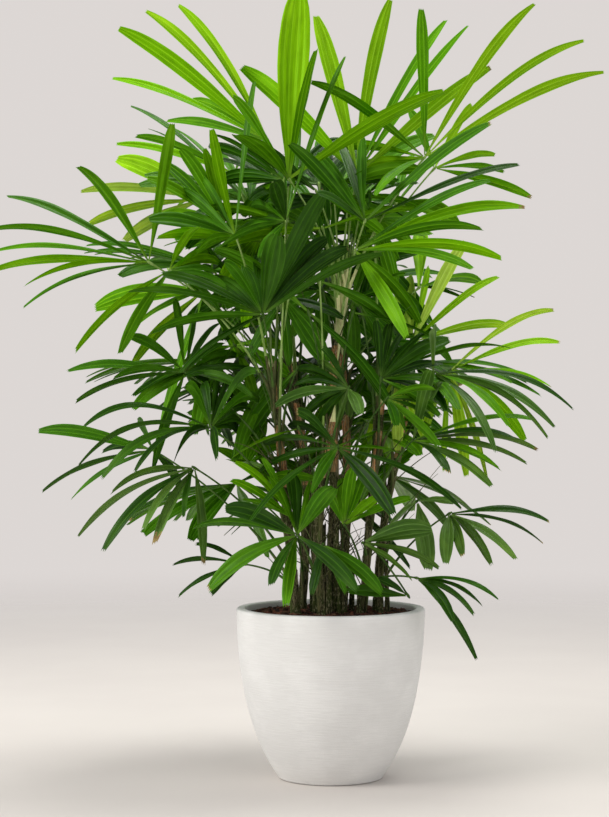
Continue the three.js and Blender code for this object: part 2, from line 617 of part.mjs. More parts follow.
function backFronds() {
  const fronds = [];
  for (const ring of BACK_RINGS) {
    ring.canes.forEach((cane, i) => {
      const share = i / (ring.canes.length - 1);
      const turn = radians(THREE.MathUtils.lerp(ring.from, ring.to, share) + 8 * (random() - 0.5));
      const out = ring.out * (0.9 + 0.2 * random());
      const height = ring.height + BACK_FAN.lift * (random() - 0.5);
      const hub = [
        CROWN_MIDDLE[0] + out * Math.cos(turn),
        CROWN_MIDDLE[1] + out * Math.sin(turn),
        height,
      ];
      const rise = radians(ring.rise);
      fronds.push({
        name: `back_${ring.level}_${i + 1}`, cane, hub, turn, rise,
        reach: ring.reach, droop: ring.droop, tone: ring.tone,
      });
    });
  }
  return fronds;
}

// ---- Fronds ----

function makeFrond(frond, petiole, leaflets) {
  const hub = new THREE.OctahedronGeometry(HUB.radius).translate(...frond.hub);
  let solid = toSolid(hub);
  solid = solid.add(toSolid(stalk(petiole, PETIOLE.steps, PETIOLE.sides, petioleRadius)));
  const kept = [];
  for (const leaflet of leaflets) {
    const clear = placeLeaflet(leaflet, `petiole_${frond.name}`);
    if (clear) kept.push(clear);
    else console.error(`a leaflet of ${frond.name} has no clear way`);
  }
  for (const leaflet of kept) {
    solid = solid.add(leafletSolid(leaflet));
    remember(leaflet.points, `petiole_${frond.name}`);
  }
  return named(`frond_${frond.name}`, toGeometry(solid), TONES[frond.tone], 0.45);
}

// ---- The plant ----

const palm = new THREE.Group();
palm.add(makePot());
palm.add(makeSoil());

for (const [name, cane] of Object.entries(CANES)) palm.add(makeCane(name, cane));

const standing = [];
for (const frond of [...FRONDS, ...backFronds()]) {
  const petiole = placePetiole(frond);
  if (petiole) standing.push({ frond, petiole });
}

for (const { frond, petiole } of standing) {
  const leaflets = frond.leaflets ? frontLeaflets(frond) : backLeaflets(frond);
  palm.add(makeFrond(frond, petiole, leaflets));
}

export default palm;
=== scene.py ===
"""Looks of a potted lady palm: combed clay pot, bark mulch, fibrous canes and pleated fan fronds.

Sizes are in millimetres and become metres when a mesh is made. +Z is up, the front faces -Y and
the origin lies under the middle of the pot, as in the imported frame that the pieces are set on.
"""
import itertools
import math

import bpy
import numpy as np
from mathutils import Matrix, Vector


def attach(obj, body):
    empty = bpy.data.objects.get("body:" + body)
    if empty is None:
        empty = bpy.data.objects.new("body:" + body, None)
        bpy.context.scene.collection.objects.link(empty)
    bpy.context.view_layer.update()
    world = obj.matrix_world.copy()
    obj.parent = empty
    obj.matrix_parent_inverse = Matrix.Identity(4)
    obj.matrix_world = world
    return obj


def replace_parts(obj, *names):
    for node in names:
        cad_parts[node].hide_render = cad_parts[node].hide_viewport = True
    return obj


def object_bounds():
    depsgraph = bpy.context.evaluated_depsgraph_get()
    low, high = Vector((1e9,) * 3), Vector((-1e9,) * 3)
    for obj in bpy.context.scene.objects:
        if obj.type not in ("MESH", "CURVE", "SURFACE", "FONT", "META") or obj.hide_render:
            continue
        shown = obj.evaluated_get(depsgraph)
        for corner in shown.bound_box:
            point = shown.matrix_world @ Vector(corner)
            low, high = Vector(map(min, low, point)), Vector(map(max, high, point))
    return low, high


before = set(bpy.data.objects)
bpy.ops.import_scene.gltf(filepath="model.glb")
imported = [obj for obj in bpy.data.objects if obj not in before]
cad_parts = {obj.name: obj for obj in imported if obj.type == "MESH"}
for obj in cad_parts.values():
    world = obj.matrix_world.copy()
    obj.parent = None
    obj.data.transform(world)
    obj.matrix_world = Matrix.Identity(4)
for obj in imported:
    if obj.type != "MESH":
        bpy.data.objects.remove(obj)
cad_low, cad_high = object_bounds()

MM = 0.001

# ---- Driving dimensions ----

GAP = 0.3
POT_HEIGHT = 286
POT_RIM = 160
POT_FOOT = 90
POT_WALL = 17
POT_FLOOR = 20
POT_EDGE = 4
POT_BEVEL = 1.2
POT_FOOT_PULL = (28, 38)
POT_WALL_PULL = (4, 164)
SOIL_TOP = POT_HEIGHT - 10

CANE_SIDES = 7
CANE_STEPS = 7
CANE_FLARE = 1.3
CANE_FLARE_HEIGHT = 14
CANE_TIP = 4.5

PETIOLE_BASE = 3.6
PETIOLE_TIP = 2.4
PETIOLE_LOWEST = 330
PETIOLE_BELOW_TOP = 4
PETIOLE_BELOW_HUB = 70
PETIOLE_SLOPE = 0.6
PETIOLE_BEND = 0.4
PETIOLE_CLEARANCE = 6
PETIOLE_CHECKS = 24
PETIOLE_SLACK = 0.05

HUB_START = 4
LEAFLET_ROOT = 3.4
LEAFLET_FLAT_LEAST = 0.2
LEAFLET_LEAST_SHARE = 0.85
MAX_ROLL = 72
LEAFLET_OUTLINE = ((0, 0), (0.3, 0.8), (0.42, 0.95), (0.6, 1), (0.84, 0.84), (0.87, 0.78), (1, 0.34))

CLEARANCE = 8
SAMPLE_STEP = 6
SWINGS = (0, -20, 20, -40, 40, -60, 60, -85, 85, -110, 110, -140, 140)
ARCHES = (0.14, 0.05, 0.24)
TURNS = (0, 35, -35, 70, -70, 105, -105)
SLIDES = (0, 14, -14, 28, -28, 42, -42, 60, -60, 80, -80, 100, -100)

# Canes: the base, the bend and the top above the soil, and the radius above the flare.
CANES = {
    "left": (((-58, -28, 0), (-76, -30, 200), (-99, -22, 412)), 7.5),
    "left_back": (((-48, 38, 0), (-40, 52, 220), (-76, 74, 455)), 6.5),
    "centre": (((-6, -2, 0), (6, -8, 190), (4, 0, 400), (26, 8, 560)), 8),
    "front": (((-16, -52, 0), (-22, -66, 150), (2, -74, 320)), 6),
    "right": (((54, -16, 0), (66, -24, 170), (86, -26, 352)), 5.5),
    "right_outer": (((78, 24, 0), (92, 34, 150), (128, 36, 330)), 6.5),
    "back": (((20, 62, 0), (30, 84, 240), (16, 108, 520)), 7.5),
    "back_left": (((-18, 96, 0), (-34, 122, 190), (-62, 156, 400)), 6.5),
}

# Fronds: name, cane, hub, cup, arch, width, tone, and a leaflet each as (bearing, reach, breadth)
# seen from the front. What is missing of the reach points forward or back, by the cup.
FRONDS = (
    ("top_tall", "centre", (-70, -50, 1005), -0.5, 0.03, 50, "young",
     ((87, 320, 50), (28, 290, 24), (77, 200, 9), (128, 145, 15), (147, 100, 20))),
    ("top_middle", "centre", (45, 20, 1022), 0.4, 0.04, 32, "young",
     ((104, 290, 30), (79, 310, 27), (60, 310, 18), (53, 318, 19), (39, 300, 25), (136, 278, 30))),
    ("top_right", "centre", (158, -20, 1045), -0.45, 0.07, 26, "young",
     ((93, 230, 20), (54, 305, 20), (36, 335, 15), (25, 333, 18), (150, 225, 18), (222, 120, 17))),
    ("top_left", "left_back", (-106, 40, 1080), 0.4, 0.05, 27, "young",
     ((157, 297, 16), (143, 322, 26), (133, 314, 16), (123, 292, 18), (165, 190, 20), (148, 165, 22))),
    ("left_star", "left_back", (-305, -30, 868), -0.6, 0.09, 24, "mature",
     ((156, 250, 16), (126, 180, 20), (78, 224, 20), (170, 282, 12), (178, 285, 10), (185, 275, 14),
      (203, 215, 12), (194, 200, 7))),
    ("right_high", "centre", (55, -105, 930), -0.6, 0.05, 28, "mature",
     ((74, 195, 26), (47, 182, 17), (37, 256, 20), (20, 272, 12), (138, 166, 22), (160, 85, 18))),
    ("right_upper", "centre", (40, -85, 884), -0.5, 0.07, 26, "mature",
     ((14, 290, 22), (26, 243, 16), (7, 205, 18), (-5, 235, 18), (-12, 190, 15), (-62, 170, 24))),
    ("middle_dark", "left", (-112, -130, 776), -0.55, 0.06, 40, "old",
     ((78, 124, 38), (63, 226, 32), (26, 218, 13), (160, 172, 18), (128, 95, 18), (171, 224, 11),
      (191, 182, 15), (217, 164, 11))),
    ("right_pale_low", "right_outer", (208, 85, 688), 0.6, 0.1, 26, "young",
     ((30, 210, 13), (14, 204, 12), (-9, 188, 11), (-42, 186, 23), (-80, 192, 24), (-92, 180, 14),
      (-71, 208, 11), (236, 172, 22))),
    ("low_left_star", "left", (-228, -50, 524), -0.5, 0.14, 24, "mature",
     ((197, 138, 13), (211, 228, 12), (223, 203, 18), (232, 128, 14), (244, 138, 20), (262, 80, 13),
      (277, 160, 16))),
    ("low_middle", "front", (-56, -150, 418), -0.5, 0.1, 32, "mature",
     ((212, 172, 27), (261, 112, 20), (-42, 132, 27), (159, 124, 29), (176, 170, 16), (53, 100, 30),
      (242, 88, 15))),
    ("right_low_fan", "right", (136, -60, 570), -0.55, 0.1, 24, "old",
     ((9, 208, 9), (1, 165, 10), (-5, 212, 9), (-12, 192, 13), (-19, 148, 13), (-31, 145, 16),
      (-45, 75, 14), (78, 118, 22))),
    ("left_pale", "left_back", (-220, 120, 990), 0.6, 0.05, 38, "young",
     ((154, 180, 36), (177, 218, 16), (192, 213, 11), (167, 140, 16), (116, 130, 14), (205, 165, 20))),
    ("right_pale", "right_outer", (144, 105, 738), 0.55, 0.07, 28, "young",
     ((62, 200, 25), (37, 194, 14), (10, 178, 16), (76, 142, 13), (120, 120, 18))),
    ("low_right_star", "right_outer", (200, -20, 446), -0.5, 0.12, 24, "old",
     ((-5, 170, 12), (-18, 165, 7), (-35, 131, 16), (-52, 107, 18), (-98, 82, 23), (-76, 70, 20))),
    ("left_middle", "left", (-245, -25, 684), -0.55, 0.09, 24, "old",
     ((147, 102, 18), (180, 200, 16), (196, 190, 9), (187, 116, 14), (96, 118, 12), (76, 108, 11),
      (253, 173, 18), (-20, 124, 18))),
    ("left_low_broad", "left", (-302, 20, 552), 0.5, 0.09, 24, "mature",
     ((171, 202, 22), (201, 205, 11), (211, 172, 10), (126, 60, 16), (184, 98, 16), (300, 90, 16))),
    ("right_arch", "right", (172, -40, 682), -0.5, 0.16, 24, "old",
     ((-15, 244, 11), (-25, 217, 14), (-31, 214, 11), (-38, 150, 14), (-55, 161, 16), (98, 70, 16))),
    ("low_right", "right", (142, -75, 342), -0.5, 0.14, 20, "mature",
     ((-50, 86, 18), (-54, 170, 13), (-32, 107, 11), (-22, 113, 8), (-14, 136, 8))),
    ("left_high", "left", (-158, -80, 908), -0.6, 0.05, 26, "mature",
     ((102, 166, 19), (174, 135, 24), (83, 258, 11), (187, 122, 18), (215, 72, 14))),
    ("left_arch", "left", (-198, -90, 592), -0.5, 0.2, 22, "old",
     ((180, 205, 11), (197, 232, 11), (206, 196, 16), (-74, 55, 16), (226, 80, 13), (120, 75, 18),
      (49, 118, 16), (212, 143, 10))),
    ("right_high_back", "back", (182, 90, 1040), 0.6, 0.06, 22, "young",
     ((16, 118, 12), (0, 130, 9), (-17, 178, 16), (60, 140, 16), (110, 120, 18))),
    ("low_middle_high", "front", (10, -130, 560), -0.45, 0.09, 28, "old",
     ((-51, 141, 27), (-27, 230, 12), (238, 84, 22), (220, 185, 12), (140, 90, 16))),
    ("left_star_inner", "left", (-266, -100, 850), -0.5, 0.08, 22, "mature",
     ((221, 208, 14), (241, 162, 20), (-18, 102, 16), (46, 82, 13))),
    ("low_bright", "right", (22, -90, 430), -0.5, 0.06, 24, "young",
     ((82, 100, 22), (40, 78, 20), (22, 122, 13), (118, 68, 16))),
    ("left_upper_back", "back_left", (-166, 90, 1030), 0.5, 0.05, 20, "mature",
     ((166, 214, 16), (158, 192, 14), (203, 124, 16), (74, 110, 14))),
    ("right_dark", "right", (82, -80, 672), -0.5, 0.05, 26, "old",
     ((29, 138, 25), (96, 98, 16), (-33, 119, 16))),
    ("middle_high", "centre", (-4, 30, 872), 0.4, 0.04, 20, "mature",
     ((103, 112, 14), (91, 140, 14), (79, 128, 14), (157, 70, 20))),
    ("middle_short", "left", (-74, -110, 930), -0.5, 0.05, 30, "mature",
     ((111, 52, 29), (70, 285, 11), (208, 126, 11), (238, 78, 22))),
    ("low_right_broad", "right_outer", (144, -45, 468), -0.4, 0.08, 32, "old",
     ((-81, 121, 31), (-4, 60, 12), (224, 74, 13))),
    ("low_right_ribbed", "right", (52, -95, 402), -0.4, 0.07, 36, "old",
     ((11, 116, 34), (-19, 134, 13), (-37, 100, 11))),
    ("low_left", "left", (-144, -40, 362), -0.3, 0.1, 16, "old",
     ((181, 123, 9), (206, 125, 8), (157, 90, 8), (222, 75, 14))),
    ("middle_arch", "front", (28, -110, 656), -0.5, 0.12, 24, "mature",
     ((194, 125, 18), (-68, 48, 22), (125, 80, 13))),
    ("right_hanging", "centre", (92, -105, 640), -0.4, 0.08, 20, "mature",
     ((-44, 120, 16), (-74, 50, 18), (10, 78, 13))),
    ("low_middle_back", "front", (-14, -110, 400), -0.3, 0.08, 24, "old",
     ((257, 84, 16), (-65, 90, 16), (-40, 130, 23))),
)

# Fronds further in, that show between the others. They are in the scene alone.
INNER_FRONDS = (
    ("left_bright", "back_left", (-216, 80, 828), 0.5, 0.06, 30, "young",
     ((188, 205, 33), (224, 194, 18), (253, 272, 18), (-65, 167, 22), (205, 150, 14))),
    ("right_bright", "right_outer", (113, -20, 684), 0.4, 0.05, 24, "young",
     ((-90, 135, 22), (-68, 126, 20), (-115, 120, 14))),
    ("low_left_thin", "left_back", (-60, -70, 440), -0.3, 0.08, 14, "young",
     ((137, 138, 13), (149, 126, 13), (118, 116, 12), (160, 96, 10))),
    ("low_dark", "right", (128, -70, 312), -0.3, 0.06, 22, "old",
     ((176, 105, 20), (150, 60, 12))),
    ("shade_middle", "left_back", (-80, -20, 809), -0.2, 0.05, 34, "old",
     ((-57, 133, 34), (-20, 110, 20), (-85, 120, 20), (-120, 115, 18), (170, 90, 18), (100, 90, 22))),
    ("shade_right", "centre", (37, 30, 808), -0.2, 0.05, 26, "old",
     ((-14, 95, 24), (12, 85, 16), (-45, 105, 22), (-88, 110, 24), (70, 90, 20), (110, 80, 16))),
    ("shade_high", "back_left", (-180, 40, 937), -0.3, 0.06, 26, "mature",
     ((135, 157, 22), (121, 148, 24), (152, 145, 20), (105, 133, 18), (171, 112, 22), (200, 90, 16))),
    ("shade_centre", "centre", (-14, 50, 828), -0.2, 0.05, 24, "old",
     ((-92, 100, 26), (-62, 100, 22), (-122, 98, 24), (-30, 70, 16), (-150, 72, 18), (80, 60, 16))),
    ("shade_left", "back_left", (-163, 40, 731), -0.2, 0.06, 28, "old",
     ((-30, 110, 26), (-5, 100, 20), (200, 95, 20), (230, 110, 24), (-70, 110, 20), (120, 80, 18))),
)

# Leaflets at the back that would hide brighter ones behind them.
LEFT_OUT = {"back_upper_1": (0, 1, 2, 3), "back_high_1": (1, 2), "back_low_1": (2, 9)}

# How far outer leaflets bow to a side, as a share of their length; the others bow by chance.
BOWS = {
    "top_left": {2: -0.02, 3: -0.03}, "top_middle": {1: 0.022}, "top_right": {2: 0.02},
    "left_star": {0: 0.03, 5: 0.03}, "right_upper": {0: 0.02, 1: -0.02}, "left_low_broad": {0: 0.03},
    "low_left_star": {4: 0.015, 6: 0.02}, "low_right_star": {0: -0.02, 2: -0.015},
    "right_arch": {1: -0.02}, "right_pale_low": {0: 0.02, 1: -0.015, 2: -0.03},
    "low_middle": {0: -0.015},
}

# How many rows of a leaflet are dry and brown at its tip; a few of the older ones are by chance.
DRY_ENDS = {
    "low_left_star": {4: 4, 6: 2}, "low_middle": {0: 1}, "low_right_star": {5: 2},
    "right_high_back": {2: 2}, "right_upper": {0: 2}, "top_middle": {4: 1}, "back_low_3": {3: 2},
    "right_pale_low": {0: 1, 1: 1, 2: 1},
}

# Looks that differ from the tone of a frond. Beside the frond's own green, a brighter look paints
# light that falls on it and light that shines through it, a dimmer one paints the shade it stands in,
# and "soft" paints a grey sheen.
LOOKS = {
    "pale": "left_pale right_pale right_bright",
    "bright": "right_pale_low",
    "young": "left_bright right_high_back back_upper_1",
    "fresh": "left_star left_high left_star_inner left_upper_back right_upper low_bright back_high_1"
             " shade_left shade_high upper skirt foot",
    "mature": "low_middle_back back_high_2 back_high_3 back_middle_4 back_low_3 shade_centre"
              " shade_right crest heart lower",
    "soft": "back_low_1 right_arch right_low_fan low_left_star low_right_star low_right_broad"
            " low_right_ribbed middle_arch",
    "old": "back_middle_3 left_low_broad",
}
LOOK_OF = {name: look for look, names in LOOKS.items() for name in names.split()}
# The looks in their order from dim to bright. The look "soft" is as bright as "mature".
BRIGHTNESS = ("old", "mature", "fresh", "young", "bright", "pale")

# Leaflets that are a step brighter or a step dimmer than the look of their frond: painted light on
# leaflets that catch the light and on those that let it through, painted shade on those that lie in
# shade.
PAINTED_LIGHT_LEAFLETS = {
    "top_middle": (0, 1, 4), "top_right": (1, 2, 3), "top_left": (2, 3), "left_star": (5, 7),
    "left_high": (0, 3), "left_star_inner": (0, 3, 6, 7), "low_middle": (1, 7, 9),
    "left_bright": (1,), "right_pale_low": (0, 6), "right_high_back": (0, 3),
    "middle_dark": (4, 5, 6, 10, 11), "low_middle_high": (2,), "left_middle": (0, 1, 3, 4, 6, 12),
    "left_arch": (5, 15), "left_low_broad": (0, 2), "back_middle_1": (0, 8), "right_dark": (2, 7),
    "right_low_fan": (0, 4), "right_upper": (0, 3), "right_arch": (3,), "left_upper_back": (0,),
    "shade_middle": (0, 2, 3), "shade_high": (3,), "crest_1": (0,), "crest_2": (2,),
    "crest_6": (0,), "crest_7": (1,), "crest_8": (0,), "crest_9": (1, 2, 3), "upper_6": (4, 5),
    "upper_9": (1,), "upper_10": (0,), "heart_2": (1,), "lower_13": (6,), "skirt_1": (4,),
}
PAINTED_SHADE_LEAFLETS = {
    "top_tall": (3, 4), "top_middle": (2, 3), "top_right": (0, 4, 5, 8), "top_left": (4,),
    "left_star": (0,), "left_high": (1, 2, 5, 6, 7), "left_star_inner": (2, 4, 5),
    "middle_short": (0, 8), "low_middle": (2, 3, 6, 8), "left_pale": (0, 4), "left_bright": (2,),
    "right_pale_low": (2, 3), "right_pale": (1, 3), "right_high": (1, 3, 5),
    "right_high_back": (4,), "low_left_star": (2, 5), "low_right_star": (0, 1),
    "right_upper": (1,), "right_arch": (0,), "right_low_fan": (1, 6), "lower_6": (2,),
    "low_middle_back": (0,), "middle_arch": (2, 4, 5, 6, 7), "low_right": (0, 1, 2, 3),
    "crest_2": (7, 8), "crest_3": range(9), "crest_4": range(9), "crest_7": (0,),
    "low_left_thin": (2, 3), "shade_left": (3,),
}

# Rings of fronds round the back: level, canes, height, how far out, first and last bearing,
# rise, reach, droop and tone.
CROWN_MIDDLE = (-20, 40)
BACK_RINGS = (
    ("high", ("back", "back_left", "back"), 985, 160, 40, 140, 42, 280, 30, "young"),
    ("upper", ("back", "back", "left_back", "back_left"), 850, 190, 22, 158, 24, 265, 60, "mature"),
    ("middle", ("right_outer", "back", "back_left", "left_back"), 690, 206, 30, 158, 12, 255, 80,
     "mature"),
    ("low", ("right_outer", "back", "back_left"), 500, 175, 42, 145, 4, 235, 90, "old"),
)
# Spans by chance have their middle at 0. Pairs are the least share and how much chance may add.
BACK_TURN_SPAN = 8
BACK_OUT = (0.9, 0.2)
FAN_LEAFLETS = 7
FAN_SPREAD = 205
FAN_TURN_SPAN = 10
FAN_ROLL_SPAN = 50
FAN_WIDTH = 27
FAN_WIDTHS = (0.8, 0.35)
FAN_SIDE_SHARE = 0.74
FAN_ARCH = 0.07
FAN_LIFT = 36

# Finer leaflets between the frame's: where there is room for them, in degrees, and their sizes.
ROOM_FROM = 26
ROOM_TO = 150
FINER_SPACING = 24
FINER_CUP = 0.6
FINER_LENGTHS = (0.72, 0.24)
FINER_BREADTHS = (0.45, 0.4)
FINER_FAN_REACH = 0.9
FINER_FAN_WIDTH = 22

# Rings of smaller fronds that fill the heart of the crown: level, count, height, how far out,
# first bearing, rise, reach, droop and tone.
HEART_RINGS = (
    ("crest", 9, 990, 66, 20, 40, 185, 20, "young"),
    ("upper", 14, 915, 95, 40, 34, 205, 45, "mature"),
    ("heart", 15, 810, 105, 10, 26, 200, 55, "old"),
    ("lower", 13, 700, 112, 33, 16, 190, 65, "old"),
    ("skirt", 10, 585, 95, 5, 14, 170, 60, "old"),
    ("foot", 7, 480, 80, 20, 22, 130, 50, "old"),
)
HEART_TURN_SPAN = 24
HEART_OUT = (0.75, 0.5)
HEART_LIFT = 60
HEART_REACHES = (0.8, 0.4)
HEART_LEAFLETS = 9
HEART_WIDTH = 28
HEART_CLEARANCE = 1.8
HEART_FRONT = -70
HEART_STALK_CLEARANCE = 1.5
LONG_STALK = 250  # a heart frond higher above a cane's top than this rather takes another cane
LONG_STALK_COST = 0.4

# Where the crown is dense, seen from the front: middle and half size of upright ellipses.
DENSE_PARTS = (((-60, 940), (235, 190)), ((-15, 655), (250, 165)))

# Where the chance draws start.
FRAME_SEED = 20731
INNER_SEED = 771
HEART_SEED = 4409
FINER_SEED = 9176
DETAIL_SEED = 58
STUB_SEED = 61
BARK_SEED = 31

UP = np.array((0.0, 0.0, 1.0))
FRONT = np.array((0.0, -1.0, 0.0))
ASIDE = np.array((1.0, 0.0, 0.0))
LEVEL = np.array((1.0, 1.0, 0.0))
BACK = np.array((0.0, 1.0, 0.0))
SIXTHS = np.arange(6) * math.pi / 3  # the corners of a hexagon, as turns
STEEP = 0.9  # the upright share of a direction from which it counts as steep


# ---- Small helpers ----

def make_draws(seed):
    """Shares from 0 to 1 in the same order each run, by the rule that the frame's fronds follow."""
    state = seed

    def draw():
        nonlocal state
        state = state * 16807 % 2147483647
        return state / 2147483647

    return draw


def chance(limits, draw):
    """A value by chance, limits being the least and how much may come on top."""
    least, more = limits
    return least + more * draw()


def chance_offset(span, draw):
    """A value by chance from a span that has its middle at 0."""
    return span * (draw() - 0.5)


def unit(vector):
    return vector / np.linalg.norm(vector, axis=-1, keepdims=True)


def mix(low, high, share):
    return low + (high - low) * share


def clamp(value, low, high):
    return max(low, min(high, value))


def smooth_step(value):
    share = np.clip(value, 0, 1)
    return share * share * (3 - 2 * share)


def circle(sides):
    """Turns that lie evenly all the way round."""
    return np.arange(sides) * 2 * math.pi / sides


def level_way(turn):
    """The level direction at a turn from the plant's right."""
    return np.array((math.cos(turn), math.sin(turn), 0.0))


def level_rings(turns, radius, level):
    """Points round the upright axis, by their turns, radii and levels."""
    x, y = radius * np.cos(turns), radius * np.sin(turns)
    return np.stack([x, y, np.zeros_like(x) + level], -1)


def square_to(heading, vector):
    """The direction square to each heading that lies nearest to a vector."""
    return unit(vector - heading * (heading @ vector)[..., None])


def turned(vector, axis, angle):
    """A vector turned about a unit axis."""
    cosine, sine = math.cos(angle), math.sin(angle)
    return vector * cosine + np.cross(axis, vector) * sine + axis * np.dot(axis, vector) * (1 - cosine)


class Curve:
    """What every curve shares: its headings, measured over two nudges, and its length."""

    NUDGE = 1e-4
    LENGTH_STEPS = 200

    def heading(self, place):
        ahead = self.at(np.minimum(place + self.NUDGE, 1))
        return unit(ahead - self.at(np.maximum(place - self.NUDGE, 0)))

    def length(self):
        points = self.at(np.arange(self.LENGTH_STEPS + 1) / self.LENGTH_STEPS)
        return float(np.linalg.norm(np.diff(points, axis=0), axis=1).sum())


class Arc(Curve):
    """A quadratic Bezier curve."""

    def __init__(self, start, middle, end):
        self.corners = [np.asarray(p, float) for p in (start, middle, end)]

    def at(self, place):
        place = np.asarray(place, float)[..., None]
        start, middle, end = self.corners
        rest = 1 - place
        return start * rest * rest + middle * 2 * rest * place + end * place * place


class Spline(Curve):
    """A centripetal Catmull-Rom curve through its points."""

    def __init__(self, points):
        inner = [np.asarray(p, float) for p in points]
        before = 2 * inner[0] - inner[1]
        after = 2 * inner[-1] - inner[-2]
        self.points = [before, *inner, after]
        self.spans = len(inner) - 1

    def at(self, place):
        place = np.asarray(place, float)
        if place.ndim:
            return np.array([self.at(p) for p in place])
        along = float(place) * self.spans
        span = min(int(along), self.spans - 1)
        share = along - span
        p0, p1, p2, p3 = self.points[span:span + 4]
        d0, d1, d2 = (np.linalg.norm(b - a) ** 0.5 for a, b in ((p0, p1), (p1, p2), (p2, p3)))
        leave = ((p1 - p0) / d0 - (p2 - p0) / (d0 + d1) + (p2 - p1) / d1) * d1
        arrive = ((p2 - p1) / d1 - (p3 - p1) / (d1 + d2) + (p3 - p2) / d2) * d1
        square, cube = share * share, share ** 3
        bend = (3 * (p2 - p1) - 2 * leave - arrive) * square
        return p1 + leave * share + bend + (2 * (p1 - p2) + leave + arrive) * cube


# ---- Clear space between the pieces ----

placed = {}
NEIGHBOURS = tuple(itertools.product((-1, 0, 1), repeat=3))


def cell_of(point):
    return tuple(math.floor(value / CLEARANCE) for value in point)


def remember(points, owner):
    for point in points.tolist():
        placed.setdefault(cell_of(point), []).append((*point, owner))


def is_clear(points, owner, clearance):
    """Whether points keep clear of the pot and of all that other owners have placed."""
    pot_top = POT_HEIGHT + CLEARANCE
    pot_side = (POT_RIM + CLEARANCE) ** 2
    nearest = clearance * clearance
    for x, y, z in points.tolist():
        if z < pot_top and x * x + y * y < pot_side:
            return False
        cell_x, cell_y, cell_z = cell_of((x, y, z))
        for step_x, step_y, step_z in NEIGHBOURS:
            for other in placed.get((cell_x + step_x, cell_y + step_y, cell_z + step_z), ()):
                if other[3] == owner:
                    continue
                apart = (other[0] - x) ** 2 + (other[1] - y) ** 2 + (other[2] - z) ** 2
                if apart < nearest:
                    return False
    return True


# ---- Canes ----

radius_of = {name: radius for name, (_, radius) in CANES.items()}
curve_of = {
    name: Spline([(x, y, SOIL_TOP + GAP + z) for x, y, z in path]) for name, (path, _) in CANES.items()
}


def cane_rings(name):
    """The middles and radii of the frame's cane, from its flared foot to its tip."""
    curve = curve_of[name]
    places = [0, CANE_FLARE_HEIGHT / curve.length()]
    places += [step / CANE_STEPS for step in range(1, CANE_STEPS + 1)]
    rings = []
    for place in places:
        taper = mix(radius_of[name], CANE_TIP, place ** 2)
        rings.append((curve.at(place), taper * CANE_FLARE if place == 0 else taper))
    return rings


rings_of = {name: cane_rings(name) for name in CANES}


def cane_at(rings, height):
    """The middle and the radius of a cane at a height."""
    above = 1
    while above < len(rings) - 1 and rings[above][0][2] < height:
        above += 1
    (low, low_radius), (high, high_radius) = rings[above - 1], rings[above]
    share = (height - low[2]) / (high[2] - low[2])
    return mix(low, high, share), mix(low_radius, high_radius, share)


def skin_distance(radius, direction):
    """How far the flat-sided skin of the frame's cane lies from its middle."""
    side = 2 * math.pi / CANE_SIDES
    turn = (math.atan2(direction[1], direction[0]) + 2 * math.pi) % side
    return radius * math.cos(side / 2) / math.cos(turn - side / 2)


def stalk_points(curve, radius_at):
    """Points on the skin of a stalk, in rings of six."""
    steps = math.ceil(curve.length() / SAMPLE_STEP)
    places = np.arange(steps + 1) / steps
    radii = np.array([radius_at(place) for place in places])
    rings = curve.at(places)[:, None] + level_rings(SIXTHS, 1, 0) * radii[:, None, None]
    return rings.reshape(-1, 3)


# ---- Petioles ----

def petiole_radius(place):
    return mix(PETIOLE_BASE, PETIOLE_TIP, place)


def petiole_curve(frond, arch, turn, slide):
    rings = rings_of[frond["cane"]]
    hub = frond["hub"]
    top = rings[-1][0]
    run = math.hypot(hub[0] - top[0], hub[1] - top[1])
    highest = top[2] - PETIOLE_BASE - PETIOLE_BELOW_TOP
    wanted = clamp(hub[2] - PETIOLE_BELOW_HUB - PETIOLE_SLOPE * run, PETIOLE_LOWEST, highest)
    centre, radius = cane_at(rings, clamp(wanted + slide, PETIOLE_LOWEST, highest))
    away = turned(unit((hub - centre) * LEVEL), UP, math.radians(turn))
    bend = mix(centre, hub, PETIOLE_BEND) + UP * arch * np.linalg.norm(hub - centre)
    seat = centre + away * (skin_distance(radius, away) + GAP)
    upright = abs(unit(bend - seat)[2])
    return Arc(seat + away * PETIOLE_BASE * upright, bend, hub)


def leaves_cane(curve, rings):
    """Whether a petiole stays as far from the skin of its own cane as where it starts."""
    top = rings[-1][0][2]

    def room(place):
        point = curve.at(place)
        centre, radius = cane_at(rings, min(point[2], top))
        apart = (point - centre) * LEVEL
        above = max(0, point[2] - top)
        return math.hypot(np.linalg.norm(apart), above) - skin_distance(radius, apart)

    seat = room(0)
    checks = (room(step / PETIOLE_CHECKS) for step in range(1, PETIOLE_CHECKS + 1))
    return all(space >= seat - PETIOLE_SLACK for space in checks)


def place_petiole(frond, clearance):
    """The first curve tried that leaves its own cane and finds clear space."""
    rings = rings_of[frond["cane"]]
    for arch in ARCHES:
        for turn in TURNS:
            for slide in SLIDES:
                curve = petiole_curve(frond, arch, turn, slide)
                if not leaves_cane(curve, rings):
                    continue
                points = stalk_points(curve, petiole_radius)
                if is_clear(points, frond["cane"], clearance):
                    remember(points, frond["name"])
                    return curve
    return None


# ---- Where the leaflets lie ----

def leaflet_curve(leaflet):
    hub, tip = leaflet["hub"], leaflet["tip"]
    length = np.linalg.norm(tip - hub)
    root = mix(hub, tip, HUB_START / length)
    return Arc(root, mix(hub, tip, 0.5) + UP * leaflet["arch"] * length, tip)


def leaflet_flat(leaflet):
    """The direction of a leaflet's width at its root."""
    chord = unit(leaflet["tip"] - leaflet["hub"])
    flat = np.cross(leaflet["face"], chord)
    if np.linalg.norm(flat) < LEAFLET_FLAT_LEAST:
        flat = ASIDE - chord * chord[0]
    return turned(unit(flat), chord, leaflet["roll"])


